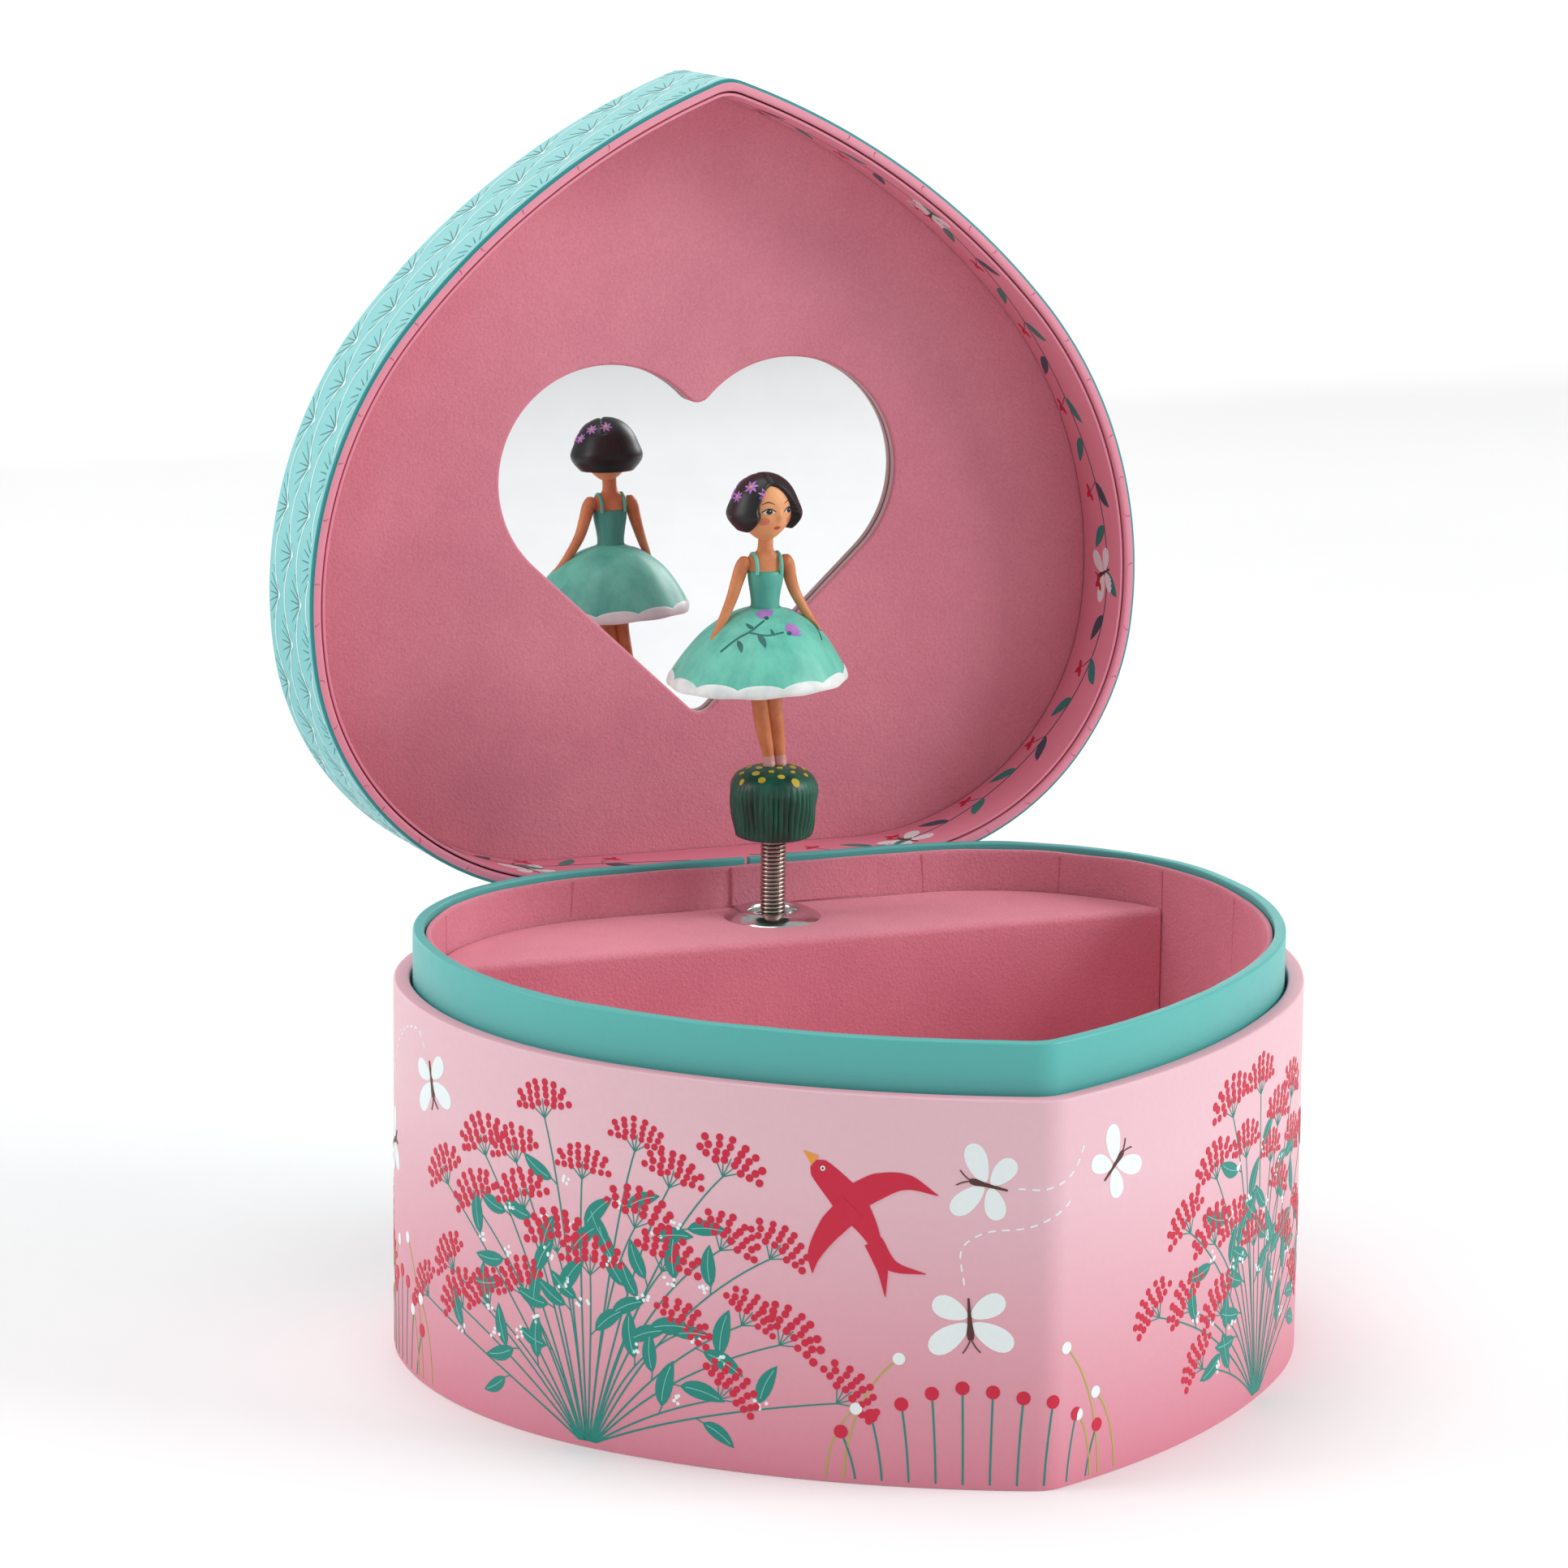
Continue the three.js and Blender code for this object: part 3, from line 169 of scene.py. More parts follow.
def sweep(name, profile, mats, tf=place, n=150, gap=None, wobble=None):
    """A closed profile carried round the outline. gap = (x, width) leaves a slot in the back wall."""
    rings = []
    for d, z, _ in profile:
        xy = full(d, n)
        if gap:
            k = n - 1
            xy = np.roll(xy, -k, axis=0)
            back = xy[0, 1]
            lo, hi = gap[0] - gap[1] / 2, gap[0] + gap[1] / 2
            keep = [p for p in xy if not (abs(p[1] - back) < 0.05 and lo - 0.4 < p[0] < hi + 0.4)]
            if keep[0][0] > 0:
                keep = keep[1:] + keep[:1]
            xy = np.array([[lo, back]] + keep + [[hi, back]])
        z = np.full(len(xy), float(z))
        if wobble:
            xy, z = wobble(xy, d, z)
        rings.append(np.c_[xy, z])
    k = min(len(r) for r in rings)
    assert all(len(r) == k for r in rings), (name, [len(r) for r in rings])
    m = len(profile)
    verts, faces, index = tf(np.concatenate(rings)), [], []
    for i in range(m):
        j = (i + 1) % m
        for a in range(k if not gap else k - 1):
            b = (a + 1) % k
            faces.append((i * k + a, i * k + b, j * k + b, j * k + a))
            index.append(int(profile[i][2]))
    if gap:
        faces += [tuple(i * k for i in range(m)), tuple(i * k + k - 1 for i in range(m))]
        index += [0, 0]
    return mesh(name, verts, faces, mats, index)


def loft(name, loops, mats, index, tf=place, sharp=38, caps=True):
    """Closed loops of equal length joined in turn, with flat ends."""
    k, m = len(loops[0]), len(loops)
    verts, faces, mi = tf(np.concatenate(loops)), [], []
    for i in range(m - 1):
        for a in range(k):
            b = (a + 1) % k
            faces.append((i * k + a, i * k + b, (i + 1) * k + b, (i + 1) * k + a))
            mi.append(index[i])
    if caps:
        verts = np.r_[verts, [verts[:k].mean(0)], [verts[-k:].mean(0)]]
        for a in range(k):
            faces += [((a + 1) % k, a, m * k), ((m - 1) * k + a, (m - 1) * k + (a + 1) % k, m * k + 1)]
            mi += [index[0], index[-2] if len(index) > 1 else index[0]]
    return mesh(name, verts, faces, mats, mi, sharp)


def turned(name, profile, mats, centre=(0, POST_Y), n=64, index=None, shape=None, sharp=38, closed=False):
    """A profile of (radius, height) turned about an upright line; shape(angle, r, z) may reshape it."""
    verts, faces, mi = [], [], []
    for r, z in profile:
        for k in range(n):
            a = 2 * math.pi * k / n
            q = shape(a, r, z) if shape else (r, z)
            verts.append((centre[0] + q[0] * math.cos(a), centre[1] + q[0] * math.sin(a), q[1]))
    m = len(profile)
    for i in range(m if closed else m - 1):
        j = (i + 1) % m
        for k in range(n):
            l = (k + 1) % n
            faces.append((i * n + k, i * n + l, j * n + l, j * n + k))
            mi.append(index[i] if index else 0)
    return mesh(name, place(verts), faces, mats, mi, sharp)


def smooth_line(points, n):
    """n points on a smooth curve through the given ones."""
    p = np.asarray(points, float)
    p = np.r_[[2 * p[0] - p[1]], p, [2 * p[-1] - p[-2]]]
    out = []
    for i in range(n):
        u = (len(p) - 3) * i / (n - 1)
        k = min(int(u), len(p) - 4)
        t = u - k
        a, b, c, d = p[k:k + 4]
        square, cube = 2 * a - 5 * b + 4 * c - d, 3 * b - a - 3 * c + d
        out.append(0.5 * (2 * b + (c - a) * t + square * t * t + cube * t ** 3))
    return np.array(out)


def tube(name, path, radii, mats, sides=12, flat=None, tf=place, cap=True):
    """A round or oval bar along a path; flat scales it across its second direction."""
    path = np.asarray(path, float)
    t = np.gradient(path, axis=0)
    t /= np.linalg.norm(t, axis=1)[:, None]
    up = np.array([0.13, -0.95, 0.27])
    verts, k = [], sides
    for p, d, r in zip(path, t, np.broadcast_to(radii, len(path))):
        side = np.cross(d, up)
        side /= np.linalg.norm(side)
        up = np.cross(side, d)
        for i in range(k):
            a = 2 * math.pi * i / k
            verts.append(p + r * (side * math.cos(a) + up * math.sin(a) * (flat or 1)))
    m = len(path)
    faces = [(i * k + a, i * k + (a + 1) % k, (i + 1) * k + (a + 1) % k, (i + 1) * k + a)
             for i in range(m - 1) for a in range(k)]
    verts = tf(np.array(verts + [path[0], path[-1]]))
    if cap:
        for a in range(k):
            faces += [((a + 1) % k, a, m * k), ((m - 1) * k + a, (m - 1) * k + (a + 1) % k, m * k + 1)]
    return mesh(name, verts, faces, mats, None, 60)


# ---------------------------------------------------------------- materials
def lin(*rgb):
    """Display values from 0 to 255 as a linear colour."""
    shares = [c / 255 for c in rgb]
    return tuple(c / 12.92 if c <= 0.04045 else ((c + 0.055) / 1.055) ** 2.4 for c in shares) + (1,)


class Mat:
    """A node material: the shader, and short calls for the nodes that feed it."""

    def __init__(self, name, rough=0.5, metal=0.0, ior=1.45, spec=0.5, coat=0.0, coat_rough=0.2, sheen=0.0,
                 sheen_rough=0.4, sheen_tint=(1, 1, 1, 1)):
        self.m = bpy.data.materials.new(name)
        self.m.use_nodes = True
        self.t = self.m.node_tree
        self.b = self.t.nodes["Principled BSDF"]
        put = {"Roughness": rough, "Metallic": metal, "IOR": ior, "Specular IOR Level": spec,
               "Coat Weight": coat,
               "Coat Roughness": coat_rough, "Sheen Weight": sheen, "Sheen Roughness": sheen_rough,
               "Sheen Tint": sheen_tint}
        for k, v in put.items():
            self.b.inputs[k].default_value = v
        self.where = self.t.nodes.new("ShaderNodeTexCoord").outputs["Object"]

    def new(self, kind, **values):
        n = self.t.nodes.new(kind)
        for k, v in values.items():
            setattr(n, k, v)
        return n

    def link(self, a, b):
        self.t.links.new(a, b)

    def noise(self, scale, detail=3, rough=0.55, stretch=None):
        n = self.new("ShaderNodeTexNoise")
        n.inputs["Scale"].default_value = scale
        n.inputs["Detail"].default_value = detail
        n.inputs["Roughness"].default_value = rough
        at = self.where
        if stretch:
            mp = self.new("ShaderNodeMapping")
            mp.inputs["Scale"].default_value = stretch
            self.link(at, mp.inputs["Vector"])
            at = mp.outputs["Vector"]
        self.link(at, n.inputs["Vector"])
        return n.outputs["Fac"]

    def cells(self, scale, feature="F1"):
        n = self.new("ShaderNodeTexVoronoi", feature=feature)
        n.inputs["Scale"].default_value = scale
        self.link(self.where, n.inputs["Vector"])
        return n.outputs["Distance"]

    def ramp(self, fac, stops):
        n = self.new("ShaderNodeValToRGB")
        e = n.color_ramp.elements
        while len(e) < len(stops):
            e.new(0.5)
        for k, (p, c) in enumerate(stops):
            e[k].position = p
            e[k].color = c
        self.link(fac, n.inputs["Fac"])
        return n.outputs["Color"]

    def math(self, op, a, b):
        n = self.new("ShaderNodeMath", operation=op)
        for k, v in enumerate((a, b)):
            if isinstance(v, (int, float)):
                n.inputs[k].default_value = v
            else:
                self.link(v, n.inputs[k])
        return n.outputs[0]

    def mix(self, fac, a, b, blend="MIX"):
        n = self.new("ShaderNodeMix", data_type="RGBA", blend_type=blend)
        for k, v in ((0, fac), (6, a), (7, b)):
            if isinstance(v, (int, float, tuple)):
                n.inputs[k].default_value = v
            else:
                self.link(v, n.inputs[k])
        return n.outputs[2]

    def height(self, low, high, axis=2):
        """0 to 1 along an axis between two places in mm in the row frame."""
        s = self.new("ShaderNodeSeparateXYZ")
        self.link(self.where, s.inputs[0])
        r = self.new("ShaderNodeMapRange")
        r.inputs["From Min"].default_value, r.inputs["From Max"].default_value = low / 1000, high / 1000
        self.link(s.outputs[axis], r.inputs["Value"])
        return r.outputs["Result"]

    def color(self, c):
        if isinstance(c, tuple):
            self.b.inputs["Base Color"].default_value = c
        else:
            self.link(c, self.b.inputs["Base Color"])
        return self

    def rough(self, fac, low, high):
        r = self.new("ShaderNodeMapRange")
        r.inputs["To Min"].default_value, r.inputs["To Max"].default_value = low, high
        self.link(fac, r.inputs["Value"])
        self.link(r.outputs["Result"], self.b.inputs["Roughness"])
        return self

    def bump(self, fac, strength=0.3, distance=0.0001):
        n = self.new("ShaderNodeBump")
        n.inputs["Strength"].default_value = strength
        n.inputs["Distance"].default_value = distance
        self.link(fac, n.inputs["Height"])
        last = self.b.inputs["Normal"].links
        if last:
            self.link(last[0].from_socket, n.inputs["Normal"])
        self.link(n.outputs["Normal"], self.b.inputs["Normal"])
        return self


def paper(name, dark, light, low=0, high=66, spread=1.0, rough=0.42, axis=2, wrinkle=0.12):
    """Printed paper glued over card: colour that goes from dark low down to light higher up, fibres, slow waves from
    the paste.
    """
    m = Mat(name, rough=rough, spec=0.45)
    tone = m.ramp(m.height(low, high, axis), [(0, dark), (spread, light)]) if dark != light else light
    m.color(m.mix(m.noise(900, 4), tone, m.mix(0.94, (0, 0, 0, 1), tone), "MIX"))
    m.rough(m.noise(260, 3), rough - 0.07, rough + 0.08)
    m.bump(m.noise(1600, 4), 0.10, 0.00003)
    m.bump(m.noise(55, 2), wrinkle, 0.0006)
    return m.m


def flock(name, dark, light, sheen=0.35):
    """Short flock: a fine speckle of fibre ends, with slow cloudy brushing."""
    m = Mat(name, rough=0.95, spec=0.12, sheen=sheen, sheen_rough=0.45, sheen_tint=lin(255, 190, 200))
    cloud = m.ramp(m.noise(45, 3, 0.6), [(0.3, dark), (0.7, light)])
    speck = m.ramp(m.noise(2100, 3, 0.7), [(0.35, (0.78, 0.76, 0.77, 1)), (0.65, (1, 1, 1, 1))])
    m.color(m.mix(0.55, cloud, m.mix(1.0, cloud, speck, "MULTIPLY")))
    m.bump(m.noise(1500, 3, 0.7), 0.55, 0.00025)
    m.bump(m.cells(1900), 0.35, 0.00015)
    m.bump(m.noise(140, 2), 0.10, 0.0006)
    return m.m


def metal(name, base, rough=0.28, streak=None, spots=0.03):
    m = Mat(name, rough=rough, metal=1.0)
    deep = tuple(c * 0.8 for c in base[:3]) + (1,)
    m.color(m.ramp(m.noise(380, 4, 0.6), [(0.3, deep), (0.7, base)]))
    m.rough(m.noise(700, 3, stretch=streak), rough - 0.08, rough + 0.1)
    m.bump(m.noise(2600, 2, stretch=streak), 0.12, spots / 1000)
    return m.m


def paint(name, base, deep=None, rough=0.4, brush=0.12, stretch=(1, 1, 1)):
    """Hand-laid paint: slight pooling of the colour and soft brush marks."""
    m = Mat(name, rough=rough, spec=0.5, coat=0.12, coat_rough=0.25)
    deep = deep or tuple(c * 0.82 for c in base[:3]) + (1,)
    m.color(m.ramp(m.noise(230, 4, 0.6, stretch), [(0.3, deep), (0.62, base)]))
    m.rough(m.noise(500, 3), rough - 0.08, rough + 0.1)
    m.bump(m.noise(900, 3, stretch=stretch), brush, 0.00012)
    return m.m


def plastic(name, base, rough=0.45):
    m = Mat(name, rough=rough)
    m.color(m.ramp(m.noise(300, 3), [(0.35, tuple(c * 0.93 for c in base[:3]) + (1,)), (0.65, base)]))
    m.rough(m.noise(800, 3), rough - 0.05, rough + 0.08)
    m.bump(m.noise(2200, 3), 0.08, 0.00004)
    return m.m


M = {
    "case": paper("case_print", lin(220, 132, 152), lin(234, 192, 202), -2, 50, rough=0.46),
    "case_lip": paper("case_lip", lin(240, 176, 190), lin(240, 176, 190)),
    "collar": paper("collar_print", lin(84, 178, 173), lin(90, 184, 179), 50, 75, rough=0.4, wrinkle=0.3),
    "flock": flock("pink_flock", lin(222, 138, 156), lin(232, 150, 166)),
    "lining": flock("pale_flock", lin(218, 138, 154), lin(228, 150, 166), 0.25),
    "lid_out": paper("lid_print", lin(104, 192, 194), lin(126, 206, 206), 60, 215, wrinkle=0.2),
    "lid_edge": paper("lid_edge_line", lin(38, 140, 142), lin(38, 140, 142)),
    "lid_in": paper("lid_lining_print", lin(232, 140, 162), lin(240, 160, 178), 60, 215, wrinkle=0.2),
    "cut": paper("cut_card", lin(232, 196, 196), lin(232, 196, 196)),
    "board": paper("grey_board", lin(150, 140, 126), lin(150, 140, 126), rough=0.8),
    "steel": metal("plated_steel", (0.62, 0.62, 0.61, 1), 0.26),
    "wire": metal("spring_wire", (0.56, 0.51, 0.45, 1), 0.24),
    "chrome": metal("chrome_plate", (0.78, 0.78, 0.77, 1), 0.14, spots=0.01),
    "brass": metal("brass_parts", (0.72, 0.52, 0.21, 1), 0.3),
    "zinc": metal("die_cast_zinc", (0.42, 0.42, 0.41, 1), 0.5, spots=0.12),
    "white": plastic("moulded_white", lin(226, 222, 210)),
}
mirror = Mat("mirror_silver", rough=0.015, metal=1.0)
mirror.color(mirror.ramp(mirror.noise(120, 2), [(0.2, (0.86, 0.88, 0.89, 1)), (0.8, (0.9, 0.91, 0.92, 1))]))
mirror.bump(mirror.noise(35, 1), 0.004, 0.0002)
M["mirror"] = mirror.m

CAD_FINISH = {
    "flock": ["tray_floor"], "board": ["base_board", "floor_riser_left", "floor_riser_right", "panel_spacer",
                                       "mirror_backing"],
    "steel": ["eyelet_washer", "hinge_case_leaf_left", "hinge_case_leaf_right", "hinge_lid_leaf_left",
              "hinge_lid_leaf_right", "hinge_pin_left", "hinge_pin_right", "movement_screw_1", "movement_screw_2",
              "movement_screw_3", "comb_screw_1", "comb_screw_2", "winding_arbor", "cylinder_arbor",
              "governor_arbor", "stop_lever", "lever_clip"],
    "wire": ["mainspring", "clutch_spring", "comb", "governor_worm"],
    "brass": ["barrel", "barrel_cap", "dancer_spindle", "pinned_cylinder", "cylinder_pinion", "drive_wheel",
              "governor_pinion"],
    "zinc": ["bedplate", "bearing_plate_left", "bearing_plate_right", "governor_frame", "winding_key"],
    "white": ["worm_wheel", "governor_fly"], "mirror": ["mirror"],
}
for finish, nodes in CAD_FINISH.items():
    for node in nodes:
        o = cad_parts[node]
        for s in range(max(1, len(o.material_slots))):
            if o.material_slots:
                o.material_slots[s].material = M[finish]
            else:
                o.data.materials.append(M[finish])


def add(o, body, slot, *nodes):
    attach(o, body)
    if nodes:
        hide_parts(*nodes)
    return o


# ---------------------------------------------------------------- the case
def wave(points, size, scale, seed):
    """Slow unevenness in mm, from smooth noise, the same in every run."""
    return np.array([size * noise.noise(Vector((p[0] / scale, p[1] / scale, seed))) for p in points])


def build_case():
    wall = rounded([(0.14, 0, 0), (0.14, WALL_TOP, 1), (3, WALL_TOP, 1), (3, 0, 1)], 0.45)
    add(sweep("outer_wall", wall, [M["case"], M["case_lip"]]), "case", "printed_card", "outer_box")
    low, high = [v.z * 1000 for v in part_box("inner_collar")]

    def hand(xy, d, z):
        return xy, z + (wave(xy, 0.12, 9, 1.5) if z[0] > 70 else 0)

    collar = rounded([(3.5, low, 0), (3.5, high - 6, 0), (3.5, high - 0.12, 0), (5.5, high - 0.12, 0),
                      (5.5, high - 1.0, 0), (5.5, low, 0)], 0.55, 4)
    add(sweep("collar_wrap", collar, [M["collar"]], gap=(-0.8, 1.1), wobble=hand), "case", "collar_card",
        "inner_collar")
    low, high = [v.z * 1000 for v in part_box("collar_lining")]

    def handmade(xy, d, z):
        c = xy.mean(0)
        r = np.linalg.norm(xy - c, axis=1)[:, None]
        inner = 1 if d > 6.2 else 0
        pull = wave(xy, 0.22, 16, z[0] / 30)[:, None] * inner
        return xy - (xy - c) / r * (np.abs(pull) - 0.02), z + (wave(xy, 0.25, 12, 3.0) if z[0] > 70 else 0)

    rows = np.linspace(high - 1, low + 1, 9)
    lining = [(5.8, low, 0), (5.8, high, 0)] + [(6.7, high, 0)] + [(6.8, z, 0) for z in rows] + [(6.8, low, 0)]
    lining = rounded(lining, 0.35, 2)
    add(sweep("lining_strip", lining, [M["lining"]], wobble=handmade), "case", "flocked_board",
        "collar_lining")


def build_ledge():
    inset = 7.15
    ring = half(inset, 400)
    at_front = np.interp(PARTITION_Y, ring[:len(ring) * 5 // 6, 1], ring[:len(ring) * 5 // 6, 0])
    upper = ring[ring[:, 1] >= PARTITION_Y]
    order = np.argsort(upper[:, 0])
    xs = np.sin(np.linspace(-math.pi / 2, math.pi / 2, 111)) * (at_front - 0.02)
    back = np.interp(np.abs(xs), upper[order, 0], upper[order, 1])
    board, bend = 1.8, 1.5
    rows = []
    for x, yb in zip(xs, back):
        y1 = PARTITION_Y + bend
        yb = max(yb, y1 + 0.05)
        col = [(x, yb + (y1 - yb) * t, LEDGE - 0.35 * max(0, 1 - abs(t * (yb - y1)) / 1.2) ** 2)
               for t in np.linspace(0, 1, 26)]
        for a in np.linspace(0, math.pi / 2, 7)[1:]:
            col.append((x, y1 - bend * math.sin(a), LEDGE - bend + bend * math.cos(a)))
        col += [(x, PARTITION_Y, z) for z in np.linspace(LEDGE - bend, 41.6, 14)[1:]]
        rows.append(col)
    k = len(rows[0])
    outer = np.array([p for c in rows for p in c])
    outer[:, 2] += np.where(outer[:, 1] > PARTITION_Y + 2, wave(outer[:, :2], 0.10, 14, 5.0), 0)
    inner = []
    for c in rows:
        for (x, y, z) in c:
            if z > LEDGE - 1.0:
                inner.append((x, y, LEDGE - board))
            elif y < PARTITION_Y + bend and z > LEDGE - bend - 0.01:
                inner.append((x, PARTITION_Y + board, LEDGE - board))
            else:
                inner.append((x, PARTITION_Y + board, min(z, LEDGE - board)))
    inner = np.array(inner)
    inner[:, 1] = np.maximum(inner[:, 1], PARTITION_Y + board)
    nx, faces = len(rows), []
    hole = lambda i, j: math.hypot(xs[i] + (xs[i + 1] - xs[i]) / 2,
                                   (rows[i][j][1] + rows[i][j + 1][1]) / 2 - POST_Y) < 6.6
    kept = {(i, j) for i in range(nx - 1) for j in range(k - 1) if not hole(i, j)}
    off = len(outer)
    for i, j in kept:
        a, b, c, d = i * k + j, i * k + j + 1, (i + 1) * k + j + 1, (i + 1) * k + j
        faces += [(a, b, c, d), (off + a, off + d, off + c, off + b)]
        for (e, f), nb in (((a, b), (i - 1, j)), ((b, c), (i, j + 1)),
                           ((c, d), (i + 1, j)), ((d, a), (i, j - 1))):
            if nb not in kept:
                faces.append((e, off + e, off + f, f))
    add(mesh("ledge_flock", place(np.r_[outer, inner]), sorted(faces), [M["flock"]], sharp=60), "case",
        "flocked_board", "ledge_cover")


def build_eyelet():
    top = LEDGE + 1.55
    prof = [(4.4, 61.8), (4.4, top - 0.75), (4.55, top - 0.35), (4.9, top - 0.08), (5.4, top), (6.2, top - 0.1),
            (7.1, top - 0.42), (7.9, top - 0.85), (8.5, top - 1.25), (8.8, top - 1.5), (8.85, LEDGE - 0.02),
            (8.2, LEDGE - 0.02), (5.3, LEDGE - 0.02), (5.3, 61.8)]
    ring = turned("eyelet_ring", prof, [M["chrome"]], n=96, closed=True, sharp=50)
    add(ring, "case", "chrome_eyelet", "eyelet")


def helix(name, z0, z1, radius=2.0, wire=0.345, pitch=0.75):
    turns = (z1 - z0) / pitch
    n = int(turns * 22)
    a = np.linspace(0, turns * 2 * math.pi, n) + (z0 - 60.5) / pitch * 2 * math.pi
    path = np.c_[radius * np.cos(a), POST_Y + radius * np.sin(a), np.linspace(z0, z1, n)]
    verts, k = [], 7
    for p, b in zip(path, a):
        out = np.array([math.cos(b), math.sin(b), 0])
        for i in range(k):
            c = 2 * math.pi * i / k
            verts.append(p + wire * (out * math.cos(c) + np.array([0, 0, 1]) * math.sin(c)))
    faces = [(i * k + j, i * k + (j + 1) % k, (i + 1) * k + (j + 1) % k, (i + 1) * k + j)
             for i in range(n - 1) for j in range(k)]
    faces += [tuple(range(k)), tuple((n - 1) * k + j for j in range(k))]
    return mesh(name, place(verts), faces, [M["wire"]], None, 80)


def build_spring():
    middle = 74.6
    lower, upper = helix("spring_lower", 60.9, middle), helix("spring_upper", middle, 83.4)
    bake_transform(lower)
    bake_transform(upper)
    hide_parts("dancer_spring")
    cup = turned("ferrule_cup", [(2.68, 83.9), (2.68, 80.95), (2.78, 80.9), (3.1, 80.9), (3.15, 81.0),
                                 (3.15, 81.35),
                                 (3.05, 81.5), (3.15, 81.65), (3.15, 84.3), (3.0, 84.45), (0.01, 84.45),
                                 (0.01, 83.9)], [M["wire"]], n=48, closed=True)
    add(cup, "spring_tip", "spring_steel", "ferrule")


# ---------------------------------------------------------------- the lid
RIM = HINGE_Z + 0.5


def heart(grow=0.0, n=160):
    """The heart window's outline, evenly spaced, widened by grow."""
    lobe_x, lobe_r, tip_r, notch_r = 17.6, 21.0, 3.0, 3.0
    tip_y = BACK - 28.6
    lobe_y = tip_y - 65.2 + lobe_r
    r = lobe_r + grow
    notch_r = max(notch_r - grow, 0.4)
    notch_y = math.sqrt((r + notch_r) ** 2 - lobe_x ** 2)
    a0 = math.atan2(lobe_x, notch_y)
    p = [(notch_r * math.sin(a), lobe_y - notch_y + notch_r * math.cos(a)) for a in np.linspace(0, a0, 8)]
    dy = tip_y - lobe_y - tip_r
    far = math.hypot(lobe_x, dy)
    leave = math.atan2(dy, -lobe_x) - math.acos((lobe_r - tip_r) / far)
    enter = math.pi / 2 + a0
    p += [(lobe_x + r * math.cos(a), lobe_y + r * math.sin(a)) for a in np.linspace(-enter, leave, 70)[1:]]
    p += [((tip_r + grow) * math.cos(a), tip_y - tip_r + (tip_r + grow) * math.sin(a))
          for a in np.linspace(leave, math.pi / 2, 10)]
    p = np.array(p)
    a = along(p) / along(p)[-1]
    u = np.linspace(0, 1, n)
    h = np.c_[np.interp(u, a, p[:, 0]), np.interp(u, a, p[:, 1])]
    return np.r_[h, h[1:-1][::-1] * [-1, 1]]


def at_z(loop, z):
    return np.c_[loop, np.full(len(loop), float(z))]


def build_lid():
    top = RIM + 27.2 - 0.5
    n = 150
    outline = [(2.4, RIM + 17.4, 2), (2.2, RIM + 1.0, 2), (2.2, RIM + 0.5, 2), (2.05, RIM + 0.12, 2), (1.7, RIM, 2),
               (0.7, RIM, 1), (0.3, RIM + 0.15, 1), (0.12, RIM + 0.6, 0), (0.12, RIM + 1.2, 0), (0.12, top - 1.4, 0),
               (0.13, top - 0.7, 0), (0.24, top - 0.3, 0), (0.5, top - 0.07, 0), (1.0, top, 0), (3, top, 0),
               (8, top, 0), (20, top, 0)]
    loops = [at_z(full(d, n), z) for d, z, _ in outline]
    loops = [at_z(full(2.4, n), top - 2.2)] + loops
    index = [2] + [m for _, _, m in outline]
    shell = loft("lid_wrap", loops, [M["lid_out"], M["lid_edge"], M["lid_in"]], index, place_lid, 50)
    add(shell, "lid", "lid_card", "lid_shell")
    low, high = RIM + 0.6, RIM + 17.5
    prof = rounded([(2.5, low, 0), (2.5, high, 0), (3.0, high, 0), (3.0, low, 0)], 0.15, 2)
    add(sweep("lid_lining_strip", prof, [M["lid_in"]], place_lid), "lid", "lining_paper", "lid_wall_lining")
    face, rear = RIM + 17.8, RIM + 19.8
    build_panel(face, rear)


def build_panel(face, rear):
    outer = full(2.5, 161)
    soft, hole = full(3.0, 161), heart(0.0, 161)
    ring = [(outer, rear, 0), (outer, face + 0.5, 0), (full(2.62, 161), face + 0.15, 0), (soft, face, 0)]
    inner = [(heart(0.55, 161), face, 0), (heart(0.18, 161), face + 0.12, 0), (hole, face + 0.45, 1),
             (hole, rear - 0.1, 1), (heart(0.1, 161), rear, 1)]
    loops = [at_z(*p[:2]) for p in ring + inner]
    k, m = len(loops[0]), len(loops)
    bm = bmesh.new()
    rows = []
    for loop in loops:
        rows.append([bm.verts.new(v) for v in place_lid(loop)])
    for i in range(m - 1):
        if i == len(ring) - 1:
            continue
        for a in range(k):
            f = bm.faces.new((rows[i][a], rows[i][(a + 1) % k], rows[i + 1][(a + 1) % k], rows[i + 1][a]))
            f.material_index = 1 if i > len(ring) + 1 else 0
            f.smooth = True
    for a, b in ((rows[len(ring) - 1], rows[len(ring)]), (rows[0], rows[-1])):
        edges = []
        for row in (a, b):
            for i in range(k):
                e = bm.edges.get((row[i], row[(i + 1) % k])) or bm.edges.new((row[i], row[(i + 1) % k]))
                edges.append(e)
        got = bmesh.ops.triangle_fill(bm, use_beauty=True, edges=edges)
        for f in got["geom"]:
            if isinstance(f, bmesh.types.BMFace):
                f.smooth = False
    bmesh.ops.recalc_face_normals(bm, faces=bm.faces)
    me = bpy.data.meshes.new("panel_flock")
    bm.to_mesh(me)
    bm.free()
    me.materials.append(M["flock"])
    me.materials.append(M["cut"])
    o = bpy.data.objects.new("panel_flock", me)
    bpy.context.scene.collection.objects.link(o)
    add(o, "lid", "flocked_board", "lid_panel")


build_case()
build_ledge()
build_eyelet()
build_spring()
build_lid()
